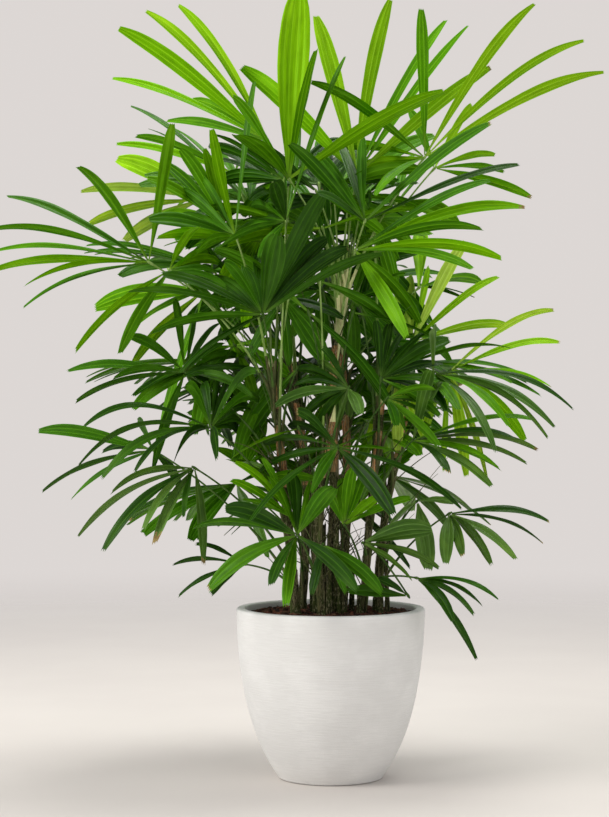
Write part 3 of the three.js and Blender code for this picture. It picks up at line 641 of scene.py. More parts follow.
def leaflet_points(leaflet):
    curve = leaflet_curve(leaflet)
    flat = leaflet_flat(leaflet)
    steps = math.ceil(curve.length() / SAMPLE_STEP)
    rows = math.ceil(leaflet["width"] / SAMPLE_STEP)
    places = np.arange(1, steps + 1) / steps
    shares = 2 * np.arange(rows + 1) / rows - 1
    along = curve.heading(places)
    wide = square_to(along, flat)
    outline = np.array(LEAFLET_OUTLINE)
    width = leaflet["width"] * np.interp(places, outline[:, 0], outline[:, 1])
    half = np.maximum(LEAFLET_ROOT, width) / 2
    points = curve.at(places)[:, None] + (half[:, None] * shares)[..., None] * wide[:, None]
    return points.reshape(-1, 3)


def within_reach(points):
    """Whether points stay inside the box that the frame's solids fill."""
    low_side, high_side = np.array(cad_low) / MM, np.array(cad_high) / MM
    return bool(((points > low_side) & (points < high_side)).all())


def place_leaflet(leaflet, owner, clearance, may_stand):
    """A leaflet is swung back or forward until it is clear of the others, or left out."""
    for swing in SWINGS:
        tried = {**leaflet, "tip": leaflet["tip"] + leaflet["swing_along"] * swing}
        tried["points"] = leaflet_points(tried)
        if may_stand and not may_stand(tried):
            continue
        if is_clear(tried["points"], owner, clearance):
            return tried
    return None


def front_leaflet(frond, bearing, reach, breadth, full, sign):
    depth = frond["cup"] * math.sqrt(max(0, full ** 2 - reach ** 2))
    turn = math.radians(bearing)
    offset = np.array((reach * math.cos(turn), depth, reach * math.sin(turn)))
    roll = min(math.acos(min(1, breadth / frond["width"])), math.radians(MAX_ROLL))
    return {
        "hub": frond["hub"], "tip": frond["hub"] + offset, "arch": frond["arch"],
        "width": max(breadth, LEAFLET_LEAST_SHARE * frond["width"]), "roll": sign * roll,
        "face": FRONT, "swing_along": BACK,
    }


def front_leaflets(frond, draw):
    full = max(reach for _, reach, _ in frond["leaflets"])
    return [
        front_leaflet(frond, bearing, reach, breadth, full, -1 if draw() < 0.5 else 1)
        for bearing, reach, breadth in frond["leaflets"]
    ]


def fan_leaflets(frond, draw, count=FAN_LEAFLETS, fan_width=FAN_WIDTH):
    """Leaflets of a frond that is held out from the crown, as an even fan with drooping tips."""
    out = level_way(frond["turn"])
    side = np.cross(UP, out)
    axis = out * math.cos(frond["rise"]) + UP * math.sin(frond["rise"])
    face = np.cross(axis, side)
    leaflets = []
    for i in range(count):
        share = 2 * i / (count - 1) - 1
        turn = math.radians(FAN_SPREAD / 2 * share + chance_offset(FAN_TURN_SPAN, draw))
        length = frond["reach"] * mix(1, FAN_SIDE_SHARE, abs(share))
        tip = frond["hub"] + axis * length * math.cos(turn) + side * length * math.sin(turn)
        roll = math.radians(chance_offset(FAN_ROLL_SPAN, draw))
        width = fan_width * chance(FAN_WIDTHS, draw)
        leaflets.append({
            "hub": frond["hub"], "tip": tip - UP * frond["droop"], "arch": FAN_ARCH,
            "width": width, "roll": roll, "face": face, "swing_along": UP,
        })
    return leaflets


def crown_hub(out, turn, height):
    """A hub at a bearing and a distance from the crown's middle."""
    return np.array((*CROWN_MIDDLE, height)) + out * level_way(turn)


def back_fronds(draw):
    """The fronds round the back of the crown, ring by ring."""
    fronds = []
    for level, canes, height, out, first, last, rise, reach, droop, tone in BACK_RINGS:
        for i, cane in enumerate(canes):
            jitter = chance_offset(BACK_TURN_SPAN, draw)
            turn = math.radians(mix(first, last, i / (len(canes) - 1)) + jitter)
            away = out * chance(BACK_OUT, draw)
            hub = crown_hub(away, turn, height + chance_offset(FAN_LIFT, draw))
            fronds.append({
                "name": f"back_{level}_{i + 1}", "cane": cane, "hub": hub, "turn": turn,
                "rise": math.radians(rise), "reach": reach, "droop": droop, "tone": tone,
            })
    return fronds


def listed_fronds(rows):
    """The fronds of a table, each with its values by name."""
    keys = ("name", "cane", "hub", "cup", "arch", "width", "tone", "leaflets")
    fronds = [dict(zip(keys, row, strict=True)) for row in rows]
    for frond in fronds:
        frond["hub"] = np.array(frond["hub"], float)
    return fronds


def with_petioles(fronds, clearance):
    """The fronds whose petioles find clear space, still without leaflets."""
    standing = []
    for frond in fronds:
        frond["petiole"] = place_petiole(frond, clearance)
        if frond["petiole"]:
            frond["kept"] = []
            standing.append(frond)
    return standing


def add_leaflets(frond, planned, clearance=CLEARANCE, may_stand=None):
    """Keeps the planned leaflets that find clear space."""
    for leaflet in planned:
        kept = place_leaflet(leaflet, frond["name"], clearance, may_stand)
        if kept:
            remember(kept["points"], frond["name"])
            frond["kept"].append(kept)


def grow_frame_fronds():
    """Sets out the frame's own fronds again, each with its petiole and its leaflets."""
    draw = make_draws(FRAME_SEED)
    for name, radius in radius_of.items():
        remember(stalk_points(curve_of[name], lambda _place, r=radius: r), name)
    standing = with_petioles(listed_fronds(FRONDS) + back_fronds(draw), PETIOLE_CLEARANCE)
    for frond in standing:
        planned = front_leaflets(frond, draw) if "leaflets" in frond else fan_leaflets(frond, draw)
        add_leaflets(frond, planned)
    return standing


def in_dense_part(point):
    return any(
        ((point[0] - x) / wide) ** 2 + ((point[2] - z) / high) ** 2 < 1
        for (x, z), (wide, high) in DENSE_PARTS
    )


def may_stand_inside(leaflet):
    """Whether a leaflet keeps behind the front fronds, inside the dense part of the crown."""
    points = leaflet["points"]
    return within_reach(points) and points[:, 1].min() > HEART_FRONT and in_dense_part(leaflet["tip"])


def between_leaflets(frond, draw):
    """Narrower leaflets for the wide gaps of a frond, cupped towards the back."""
    backward = {**frond, "cup": FINER_CUP}
    rows = sorted((bearing % 360, reach) for bearing, reach, _ in frond["leaflets"])
    full = max(reach for _, reach in rows)
    extra = []
    for i, (bearing, reach) in enumerate(rows):
        after, after_reach = rows[(i + 1) % len(rows)]
        gap = (after - bearing) % 360
        if not ROOM_FROM < gap < ROOM_TO:
            continue
        count = round(gap / FINER_SPACING)
        for step in range(1, count + 1):
            share = step / (count + 1)
            length = mix(reach, after_reach, share) * chance(FINER_LENGTHS, draw)
            breadth = frond["width"] * chance(FINER_BREADTHS, draw)
            sign = -1 if draw() < 0.5 else 1
            extra.append(front_leaflet(backward, bearing + gap * share, length, breadth, full, sign))
    return [leaflet for leaflet in extra if in_dense_part(leaflet["tip"])]


def in_reach(leaflet):
    return within_reach(leaflet["points"])


def add_finer_leaflets(frond, draw):
    """Finer leaflets for a frond of the frame, unless it is one that loses leaflets."""
    if frond["name"] in LEFT_OUT:
        left_out = LEFT_OUT[frond["name"]]
        frond["kept"] = [leaf for i, leaf in enumerate(frond["kept"]) if i not in left_out]
        return
    if "leaflets" in frond:
        planned = between_leaflets(frond, draw)
    else:
        nearer = {**frond, "reach": frond["reach"] * FINER_FAN_REACH}
        planned = fan_leaflets(nearer, draw, FAN_LEAFLETS - 1, FINER_FAN_WIDTH)
    add_leaflets(frond, planned, HEART_CLEARANCE, in_reach)


def grow_inner_fronds():
    """The fronds that show between the others."""
    draw = make_draws(INNER_SEED)
    fronds = []
    for planned in listed_fronds(INNER_FRONDS):
        for frond in with_petioles([planned], HEART_STALK_CLEARANCE):
            add_leaflets(frond, front_leaflets(frond, draw), HEART_CLEARANCE, in_reach)
            fronds.append(frond)
    return fronds


def nearest_cane(hub):
    """The cane whose top a heart frond reaches with the shortest stalk."""
    def run(name):
        top = rings_of[name][-1][0]
        too_high = LONG_STALK_COST * (hub[2] - top[2] - LONG_STALK)
        return math.hypot(hub[0] - top[0], hub[1] - top[1]) + max(0, too_high)
    return min(CANES, key=run)


def heart_frond(level, number, draw):
    """One frond of a ring in the heart of the crown."""
    name, count, height, out, first, rise, reach, droop, tone = level
    turn = math.radians(first + 360 * (number / count) + chance_offset(HEART_TURN_SPAN, draw))
    away = out * chance(HEART_OUT, draw)
    hub = crown_hub(away, turn, height + chance_offset(HEART_LIFT, draw))
    return {
        "name": f"{name}_{number + 1}", "ring": name, "cane": nearest_cane(hub), "hub": hub,
        "turn": turn, "rise": math.radians(rise), "reach": reach * chance(HEART_REACHES, draw),
        "droop": droop, "tone": tone,
    }


def grow_heart_fronds():
    """Smaller fronds in the heart of the crown, by the rule of the rings round the back."""
    draw = make_draws(HEART_SEED)
    planned = [heart_frond(level, i, draw) for level in HEART_RINGS for i in range(level[1])]
    fronds = with_petioles(planned, HEART_STALK_CLEARANCE)
    for frond in fronds:
        fan = fan_leaflets(frond, draw, HEART_LEAFLETS, HEART_WIDTH)
        add_leaflets(frond, fan, HEART_CLEARANCE, may_stand_inside)
    return [frond for frond in fronds if frond["kept"]]


# ---- Skins: faces gathered for one piece ----

def ring_sides(first, sides):
    """The numbers of the points at both ends of each side of a ring, which starts at first."""
    return [(first + side, first + (side + 1) % sides) for side in range(sides)]


class Skin:
    """The points and faces of a piece. Each face has a material number and each corner a place
    on the blade map and on the flat layout."""

    def __init__(self):
        self.points = []
        self.faces = []
        self.slots = []
        self.blade = []
        self.layout = []
        self.count = 0

    def add_points(self, points):
        first = self.count
        self.points.append(np.asarray(points, float).reshape(-1, 3))
        self.count += len(self.points[-1])
        return first

    def add_face(self, corners, slot):
        self.faces.append(corners)
        self.slots.append(slot)

    def add_sheet(self, grid, slots, blade, layout):
        """An open sheet of quads. slots has a number per quad."""
        rows, columns, _ = grid.shape
        first = self.add_points(grid)
        for row in range(rows - 1):
            for column in range(columns - 1):
                a = row * columns + column
                corners = (a, a + 1, a + columns + 1, a + columns)
                self.add_face([first + c for c in corners], int(slots[row, column]))
                self.blade.extend(blade[c] for c in corners)
                self.layout.extend(layout[c] for c in corners)

    def add_tube(self, rings, slot):
        """A closed tube through rings that run anticlockwise seen from the last one. slot is a
        number for the whole tube, or one for each ring."""
        rows, sides, _ = rings.shape
        first = self.add_points(rings)
        slots = [slot] * rows if isinstance(slot, int) else slot
        for row in range(rows - 1):
            for a, b in ring_sides(first + row * sides, sides):
                self.add_face([a, b, b + sides, a + sides], slots[row])
        for row, flip in ((0, True), (rows - 1, False)):
            middle = self.add_points(rings[row].mean(0))
            for a, b in ring_sides(first + row * sides, sides):
                self.add_face([middle, b, a] if flip else [middle, a, b], slots[row])


def new_object(name, data):
    """An object of the scene for its mesh, lamp or lens."""
    made = bpy.data.objects.new(name, data)
    bpy.context.scene.collection.objects.link(made)
    return made


def make_piece(name, skin, materials, smooth=True):
    """A mesh object in metres, riding on the one body."""
    mesh = bpy.data.meshes.new(name)
    points = np.concatenate(skin.points) * MM
    sizes = np.array([len(face) for face in skin.faces])
    corners = np.fromiter((corner for face in skin.faces for corner in face), int)
    mesh.vertices.add(len(points))
    mesh.vertices.foreach_set("co", points.ravel())
    mesh.loops.add(len(corners))
    mesh.loops.foreach_set("vertex_index", corners)
    mesh.polygons.add(len(sizes))
    mesh.polygons.foreach_set("loop_start", np.concatenate([[0], np.cumsum(sizes)[:-1]]))
    mesh.polygons.foreach_set("material_index", np.array(skin.slots))
    mesh.polygons.foreach_set("use_smooth", np.full(len(sizes), smooth))
    if skin.blade:
        for map_name, places in (("blade", skin.blade), ("OFBake", skin.layout)):
            layer = mesh.uv_layers.new(name=map_name)
            layer.uv.foreach_set("vector", np.array(places, np.float32).ravel())
    mesh.update(calc_edges=True)
    mesh.validate()
    for material in materials:
        mesh.materials.append(material)
    piece = new_object(name, mesh)
    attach(piece, "root")
    return piece


def tube_rings(path, radii, sides):
    """Rings round a path, square to it, carried along without twisting."""
    path = np.asarray(path, float)
    along = unit(np.gradient(path, axis=0))
    start = UP if abs(along[0][2]) < STEEP else ASIDE
    side = square_to(along[0], start)
    turns = circle(sides)
    rings = []
    for centre, heading, radius in zip(path, along, radii, strict=True):
        side = square_to(heading, side)
        across = np.cross(heading, side)
        ring = np.cos(turns)[:, None] * side + np.sin(turns)[:, None] * across
        rings.append(centre + ring * radius)
    return np.array(rings)


# ---- Materials ----

COLOUR_SOCKETS = ("Color", "Light", "Dark", "Moss", "Blade", "Shade", "Painted sheen", "Rib", "Root")


def new_group(name, given, results):
    """A shader node group. Returns its tree, what is given to it and the inputs of its results."""
    tree = bpy.data.node_groups.new(name, "ShaderNodeTree")
    for way, sockets in (("INPUT", given), ("OUTPUT", results)):
        for socket in sockets:
            kind = "NodeSocketColor" if socket in COLOUR_SOCKETS else "NodeSocketFloat"
            tree.interface.new_socket(name=socket, in_out=way, socket_type=kind)
    return tree, tree.nodes.new("NodeGroupInput").outputs, tree.nodes.new("NodeGroupOutput").inputs


def fill(tree, sockets, values):
    """Links or sets sockets by their name or number. A colour has three shares; its alpha is 1."""
    for key, value in values.items():
        if isinstance(value, bpy.types.NodeSocket):
            tree.links.new(value, sockets[key])
        elif sockets[key].type == "RGBA":
            sockets[key].default_value = (*value, 1.0)
        else:
            sockets[key].default_value = value


def add_node(tree, kind, inputs=None, **settings):
    """Adds a node with its settings and its inputs, and returns its outputs."""
    node = tree.nodes.new(kind)
    for key, value in settings.items():
        setattr(node, key, value)
    fill(tree, node.inputs, inputs or {})
    return node.outputs


def calculate(tree, operation, first, second=0.0):
    return add_node(tree, "ShaderNodeMath", {0: first, 1: second}, operation=operation)[0]


def times(tree, first, second):
    return calculate(tree, "MULTIPLY", first, second)


def times_plus(tree, value, factor, added):
    return calculate(tree, "ADD", times(tree, value, factor), added)


def remap(tree, value, low, high):
    """A share that goes smoothly from 0 at the low value to 1 at the high one."""
    limits = {"Value": value, "From Min": low, "From Max": high}
    return add_node(tree, "ShaderNodeMapRange", limits, interpolation_type="SMOOTHSTEP")[0]


def blend(tree, share, first, second):
    return add_node(tree, "ShaderNodeMix", {0: share, 6: first, 7: second}, data_type="RGBA")[2]


def noise(tree, place, scale, detail):
    return add_node(tree, "ShaderNodeTexNoise", {"Vector": place, "Scale": scale, "Detail": detail})["Fac"]


def object_place(tree):
    return add_node(tree, "ShaderNodeTexCoord")["Object"]


def stretched_noise(tree, scale, stretch, detail=3.0):
    """Noise in the object's own space, stretched along its axes."""
    mapped = add_node(tree, "ShaderNodeMapping", {"Vector": object_place(tree), "Scale": stretch})[0]
    return noise(tree, mapped, scale, detail)


# How far streaks, pleats and patches darken a blade, the pleats with painted shade, and how much
# painted sheen, rib and root show.
STREAK_SHADE = 0.45
PLEAT_PAINTED_SHADE = 0.3
PATCH_SHADE = 0.25
PAINTED_SHEEN_SHARE = 0.55
RIB_SHARE = 0.7
RIB_SHARE_AT_ROOT = 0.4
ROOT_SHARE = 0.45
FLECK_COLOUR = (0.5, 0.45, 0.28)


def make_blade_group():
    """Colour, roughness and height of a pleated blade, by the blade map: ribs across, length along."""
    tree, given, result = new_group(
        "pleated blade", ("Blade", "Shade", "Painted sheen", "Rib", "Root"), ("Color", "Roughness", "Height"))
    place = add_node(tree, "ShaderNodeUVMap", uv_map="blade")[0]
    split = add_node(tree, "ShaderNodeSeparateXYZ", {0: place})
    across, along = split["X"], split["Y"]

    def blade_noise(across_scale, along_scale, detail=2.0):
        spots = {0: times(tree, across, across_scale), 1: times(tree, along, along_scale)}
        return noise(tree, add_node(tree, "ShaderNodeCombineXYZ", spots)[0], 1.0, detail)

    near_rib = calculate(tree, "PINGPONG", across, 0.5)
    near_root = remap(tree, calculate(tree, "FRACT", along), 0.2, 0.0)
    rib = remap(tree, near_rib, 0.12, 0.02)
    # painted shade across each pleat, darkest midway between two ribs
    pleat = remap(tree, near_rib, 0.0, 0.5)
    streak = remap(tree, blade_noise(9.0, 3.0), 0.35, 0.65)
    patch = remap(tree, blade_noise(0.5, 7.0), 0.45, 0.7)
    # painted sheen: soft patches where the blade turns greyer and lighter, as if it caught the light
    painted_sheen = remap(tree, blade_noise(0.35, 2.7, 1.0), 0.5, 0.75)
    shade = times_plus(tree, streak, STREAK_SHADE, times(tree, pleat, PLEAT_PAINTED_SHADE))
    shade = times_plus(tree, patch, PATCH_SHADE, shade)
    shaded = blend(tree, shade, given["Blade"], given["Shade"])
    blade = blend(tree, times(tree, painted_sheen, PAINTED_SHEEN_SHARE), shaded, given["Painted sheen"])
    rib_share = times(tree, rib, times_plus(tree, near_root, RIB_SHARE_AT_ROOT, RIB_SHARE))
    ribbed = blend(tree, rib_share, blade, given["Rib"])
    fill(tree, result, {
        "Color": blend(tree, times(tree, near_root, ROOT_SHARE), ribbed, given["Root"]),
        "Roughness": times_plus(tree, patch, 0.14, 0.36),
        "Height": times_plus(tree, streak, 0.35, rib),
    })
    return tree


def make_fibre_group():
    """Colour, roughness and height of upright fibres, as on sheaths, stalks and bark."""
    tree, given, result = new_group(
        "upright fibres", ("Light", "Dark", "Moss", "Moss share", "Fleck share"),
        ("Color", "Roughness", "Height"))

    def upright_noise(scale, height_scale):
        return stretched_noise(tree, scale, (1.0, 1.0, height_scale))

    fine, broad = upright_noise(900.0, 0.07), upright_noise(330.0, 0.12)
    fibre = remap(tree, times_plus(tree, fine, 0.5, times(tree, broad, 0.5)), 0.4, 0.6)
    patch = remap(tree, upright_noise(110.0, 0.35), 0.4, 0.62)
    fleck = remap(tree, upright_noise(520.0, 0.4), 0.54, 0.63)
    bark = blend(tree, fibre, given["Dark"], given["Light"])
    mossy = blend(tree, times(tree, patch, given["Moss share"]), bark, given["Moss"])
    fill(tree, result, {
        "Color": blend(tree, times(tree, fleck, given["Fleck share"]), mossy, FLECK_COLOUR),
        "Roughness": times_plus(tree, fibre, 0.2, 0.66),
        "Height": fibre,
    })
    return tree


def make_mottle_group():
    """Two tones in soft patches with fine grain, as on fired clay, soil and chips."""
    tree, given, result = new_group(
        "mottled grain", ("Light", "Dark", "Patch scale", "Grain scale", "Grain share"),
        ("Color", "Grain"))
    place = object_place(tree)
    grain = remap(tree, noise(tree, place, given["Grain scale"], 2.0), 0.4, 0.62)
    patch = remap(tree, noise(tree, place, given["Patch scale"], 3.0), 0.35, 0.65)
    share = times_plus(tree, grain, given["Grain share"], patch)
    fill(tree, result, {"Color": blend(tree, share, given["Light"], given["Dark"]), "Grain": grain})
    return tree


BLADE_GROUP = make_blade_group()
FIBRE_GROUP = make_fibre_group()
MOTTLE_GROUP = make_mottle_group()


def new_material(name, specular):
    """A material. Returns it with its tree and with the inputs of its shader."""
    material = bpy.data.materials.new(name)
    material.use_nodes = True
    tree = material.node_tree
    shader = tree.nodes["Principled BSDF"].inputs
    fill(tree, shader, {"Specular IOR Level": specular})
    return material, tree, shader


def add_bump(tree, height, depth, strength):
    settings = {"Height": height, "Distance": depth, "Strength": strength}
    return add_node(tree, "ShaderNodeBump", settings)[0]


def group_material(name, specular, group, values, bump, roughness=None):
    """A material with the colour of a node group, its bump from the group's height given with its
    depth in metres and its strength, and the group's roughness where none is given."""
    material, tree, shader = new_material(name, specular)
    made = add_node(tree, "ShaderNodeGroup", values, node_tree=group)
    height, depth, strength = bump
    fill(tree, shader, {
        "Base Color": made["Color"],
        "Roughness": made["Roughness"] if roughness is None else roughness,
        "Normal": add_bump(tree, made[height], depth, strength),
    })
    return material


def painted_sheen_of(tone):
    """The greyer, lighter green of a painted sheen, where a blade would catch the light."""
    red, green, blue = tone
    return red * 1.4 + 0.024, green * 1.2 + 0.04, blue + 0.01


def blade_material(name, tone, rib, root, sheen):
    # The half tone darkens the streaks and patches, and paints the shade of the pleats.
    shade = [value * 0.5 for value in tone]
    # The sheen tone is a painted sheen, greyer and lighter than the blade.
    values = {"Blade": tone, "Shade": shade, "Painted sheen": painted_sheen_of(tone), "Rib": rib, "Root": root}
    return group_material(name, sheen, BLADE_GROUP, values, ("Height", 0.0006, 0.6))


def fibre_material(name, light, dark, moss, moss_share, depth, fleck_share=0.0):
    values = {
        "Light": light, "Dark": dark, "Moss": moss, "Moss share": moss_share, "Fleck share": fleck_share}
    return group_material(name, 0.08, FIBRE_GROUP, values, ("Height", depth, 0.7))


def mottle_values(light, dark, patch_scale, grain_scale, grain_share=0.3):
    return {
        "Light": light, "Dark": dark, "Patch scale": patch_scale, "Grain scale": grain_scale,
        "Grain share": grain_share,
    }


def mottle_material(name, values, roughness, depth):
    return group_material(name, 0.25, MOTTLE_GROUP, values, ("Grain", depth, 0.6), roughness)


def pot_material():
    """Matt off-white clay, combed round in fine wavy lines."""
    material, tree, shader = new_material("combed clay", 0.25)
    clay = mottle_values((0.79, 0.785, 0.765), (0.735, 0.73, 0.71), 16.0, 700.0, 0.25)
    made = add_node(tree, "ShaderNodeGroup", clay, node_tree=MOTTLE_GROUP)
    line = remap(tree, stretched_noise(tree, 520.0, (0.06, 0.06, 1.0), 2.0), 0.4, 0.62)
    height = times_plus(tree, made["Grain"], 0.4, line)
    fill(tree, shader, {
        "Base Color": blend(tree, times(tree, line, 0.22), made["Color"], (0.67, 0.66, 0.64)),
        "Roughness": 0.72,
        "Normal": add_bump(tree, height, 0.0004, 0.35),
    })
    return material


# Blade tones: sheen, the three shades dealt out among the leaflets of a tone, its ribs and roots.
# Beside the greens of young and old blades, the pale and bright tones paint light shining through thin
# leaflets, the old tone partly paints the shade deep in the crown, and the soft tone paints a grey sheen into
# the green.
BLADE_TONES = {
    "pale": (
        0.02, ((0.53, 0.88, 0.04), (0.62, 0.92, 0.1), (0.42, 0.78, 0.02)),
        (0.7, 0.93, 0.2), (0.64, 0.84, 0.22)),
    "bright": (
        0.02, ((0.27, 0.57, 0.006), (0.34, 0.64, 0.015), (0.2, 0.5, 0.003)),
        (0.42, 0.74, 0.04), (0.46, 0.66, 0.1)),
    "young": (
        0.03, ((0.18, 0.48, 0.001), (0.25, 0.57, 0.002), (0.115, 0.36, 0.001)),
        (0.32, 0.65, 0.015), (0.38, 0.58, 0.07)),
    "fresh": (
        0.06, ((0.089, 0.29, 0.001), (0.135, 0.37, 0.002), (0.058, 0.21, 0.001)),
        (0.2, 0.48, 0.015), (0.3, 0.5, 0.06)),
    "mature": (
        0.1, ((0.048, 0.182, 0.001), (0.075, 0.242, 0.002), (0.032, 0.136, 0.001)),
        (0.12, 0.33, 0.015), (0.21, 0.38, 0.05)),
    "soft": (
        0.2, ((0.084, 0.195, 0.018), (0.115, 0.25, 0.03), (0.055, 0.148, 0.01)),
        (0.15, 0.29, 0.06), (0.21, 0.34, 0.07)),
    "old": (
        0.14, ((0.02, 0.082, 0.001), (0.036, 0.128, 0.002), (0.013, 0.055, 0.001)),
        (0.065, 0.18, 0.01), (0.13, 0.26, 0.03)),
}
BLADES = {
    tone: [blade_material(f"{tone} blade {i + 1}", shade, rib, root, sheen) for i, shade in enumerate(shades)]
    for tone, (sheen, shades, rib, root) in BLADE_TONES.items()
}
DARK_STALK = fibre_material(
    "dark green stalk", (0.07, 0.15, 0.025), (0.03, 0.075, 0.012), (0.12, 0.2, 0.05), 0.5, 0.0002)
PALE_STALK = fibre_material(
    "pale green stalk", (0.28, 0.44, 0.1), (0.14, 0.25, 0.035), (0.4, 0.54, 0.2), 0.5, 0.0002)
PALE_SHEATH = fibre_material(
    "pale sheath", (0.82, 0.84, 0.42), (0.56, 0.62, 0.24), (0.72, 0.58, 0.34), 0.5, 0.0004)
OLIVE_SHEATH = fibre_material(
    "olive sheath", (0.15, 0.14, 0.06), (0.05, 0.055, 0.022), (0.1, 0.15, 0.04), 0.6, 0.0005)
BROWN_SHEATH = fibre_material(
    "brown sheath", (0.75, 0.36, 0.15), (0.105, 0.052, 0.022), (0.3, 0.24, 0.08), 0.5, 0.0009, 0.7)
DARK_SHEATH = fibre_material(
    "dark sheath", (0.07, 0.07, 0.025), (0.014, 0.016, 0.006), (0.045, 0.07, 0.012), 0.6, 0.0009, 0.35)
LOOSE_FIBRE = fibre_material(
    "loose fibre", (0.4, 0.36, 0.2), (0.1, 0.08, 0.035), (0.14, 0.16, 0.05), 0.4, 0.0002)
DRY_TIP = mottle_material(
    "dry tip", mottle_values((0.42, 0.33, 0.12), (0.22, 0.15, 0.05), 60.0, 900.0), 0.8, 0.0003)
SOIL = mottle_material(
    "potting mix", mottle_values((0.055, 0.028, 0.018), (0.02, 0.012, 0.008), 120.0, 700.0), 0.95, 0.002)
CHIPS = [
    mottle_material(name, mottle_values(light, dark, 90.0, 800.0), roughness, 0.001)
    for name, light, dark, roughness in (
        ("red bark", (0.2, 0.066, 0.038), (0.08, 0.03, 0.018), 0.85),
        ("brown bark", (0.16, 0.08, 0.045), (0.06, 0.03, 0.018), 0.88),
        ("dark bark", (0.05, 0.024, 0.016), (0.02, 0.012, 0.009), 0.9),
    )
]


# ---- Pot and mulch ----

POT_SIDES = 160
POT_ROWS = 56
POT_WAVE = 0.25  # how far the combed wall swings in and out
POT_WAVE_COUNT = 3  # how often it does so all the way round
POT_WAVE_LEAN = 37  # height over which the waves turn by one radian


def pot_outline(places):
    foot = np.array((POT_FOOT, POT_EDGE), float)
    rim = np.array((POT_RIM, POT_HEIGHT - POT_EDGE), float)
    lower = foot + POT_FOOT_PULL
    upper = rim - POT_WALL_PULL
    t = places[:, None]
    return foot * (1 - t) ** 3 + 3 * lower * t * (1 - t) ** 2 + 3 * upper * t * t * (1 - t) + rim * t ** 3


def corner_arc(middle, start, end, steps=5):
    turns = np.radians(np.linspace(start, end, steps))
    return np.array(middle) + POT_EDGE * np.stack([np.cos(turns), np.sin(turns)], 1)


def make_pot():
    outside = pot_outline(np.linspace(0, 1, POT_ROWS))
    edge_level = POT_HEIGHT - POT_EDGE
    outer_edge = corner_arc((POT_RIM - POT_EDGE, edge_level), 0, 90)
    inner_edge = corner_arc((POT_RIM - POT_WALL + POT_EDGE, edge_level), 90, 180)
    inside = (outside - (POT_WALL, 0))[::-1]
    inside = inside[(inside[:, 1] > POT_FLOOR + POT_WALL) & (inside[:, 1] < edge_level)]
    foot = np.array([(POT_FOOT * 0.5, 0), (POT_FOOT - POT_EDGE, 0), (POT_FOOT - POT_BEVEL, POT_BEVEL)])
    floor = np.array([(inside[-1][0] - POT_WALL, POT_FLOOR), (inside[-1][0] * 0.4, POT_FLOOR)])
    profile = np.concatenate([foot, outside, outer_edge[1:], inner_edge, inside, floor])
    away, level = profile[:, :1], profile[:, 1:]
    turns = circle(POT_SIDES)
    wave = POT_WAVE * np.sin(POT_WAVE_COUNT * turns[None] + level / POT_WAVE_LEAN) * (level > POT_EDGE)
    radius = away - POT_WAVE + wave * (away > POT_FOOT)
    skin = Skin()
    skin.add_tube(level_rings(turns, radius, level), 0)
    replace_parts(make_piece("pot_body", skin, [pot_material()]), "pot")


CHIP_COUNT = 1500
CHIP_LENGTHS = (6, 17)
CHIP_BREADTHS = (0.3, 0.6)
CHIP_THICKNESSES = (1.2, 3.2)
CHIP_MARGIN = 2.5
CHIP_TOP = 0.86
CHIP_PITCH = 0.28
CHIP_LEAN = 0.22
HEAP = 4.5


def spin(first, second, angle):
    """A matrix that turns from one axis towards another."""
    matrix = np.eye(3)
    matrix[first, first] = matrix[second, second] = math.cos(angle)
    matrix[first, second] = -math.sin(angle)
    matrix[second, first] = math.sin(angle)
    return matrix


def make_mulch():
    """Bark chips heaped loosely over the soil."""
    rng = np.random.default_rng(BARK_SEED)
    skin = Skin()
    for _ in range(CHIP_COUNT):
        long = rng.uniform(*CHIP_LENGTHS)
        wide = long * rng.uniform(*CHIP_BREADTHS)
        thick = rng.uniform(*CHIP_THICKNESSES)
        away = (POT_RIM - POT_WALL - CHIP_MARGIN - long / 2) * math.sqrt(rng.uniform())
        bearing = rng.uniform(0, 2 * math.pi)
        turns = SIXTHS + rng.uniform(-0.3, 0.3, 6)
        stretch = rng.uniform(0.8, 1.1, 6)
        outline = np.stack([np.cos(turns) * long / 2 * stretch, np.sin(turns) * wide / 2 * stretch], 1)
        top = np.column_stack([outline * CHIP_TOP, thick / 2 + rng.uniform(-0.4, 0.4, 6)])
        bottom = np.column_stack([outline, np.full(6, -thick / 2)])
        turn = spin(0, 1, rng.uniform(0, 2 * math.pi))
        tip = spin(2, 0, rng.normal(0, CHIP_PITCH))
        tilt = spin(1, 2, rng.normal(0, CHIP_LEAN))
        level = SOIL_TOP + HEAP * (1 - (away / POT_RIM) ** 2) * rng.uniform()
        middle = away * level_way(bearing) + UP * level
        chip = np.array([bottom, top]) @ (turn @ tip @ tilt).T + middle
        skin.add_tube(chip, int(rng.integers(len(CHIPS))))
    make_piece("mulch_chips", skin, CHIPS, smooth=False)
    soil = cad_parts["soil"].data
    soil.materials.clear()
    soil.materials.append(SOIL)


# ---- Cane pieces ----

PALE_FROM = 738  # sheaths above this height are still fresh
DARK_BELOW = 490  # and below this height they have weathered
BROWN, DARK, PALE = range(3)  # the materials of a cane by number

SHEATH_SIDES = 32
SHEATH_ROW = 2.6
SHEATH_START = -20.0
SHEATH_SPACING = (20, 44)
SHEATH_SLANTS = (4, 10)
SHEATH_LEAST = 6
SHEATH_SWELL = 1.3  # how far a sheath stands out at its upper rim
SHOOT_STEPS = 8
SHOOT_LENGTH = 34
SHOOT_NUDGE = 0.01

# Dead stems by place, height and radius.
STUBS = (
    ((-2, -30), 92, 5), ((14, -24), 64, 4.5), ((-30, -10), 46, 4), ((14, 30), 120, 5),
    ((36, 8), 74, 4.5), ((47, -34), 42, 4), ((96, -8), 88, 4), ((84, -30), 60, 3.5),
)
CLUSTER_STUBS = (
    ((-25, -22), 165, 5), ((6, -16), 190, 5.5), ((22, -24), 96, 4.5), ((-16, 22), 150, 5),
)
STUB_SIDES = 14
STUB_ROWS = 16
STUB_LEAN = 0.05


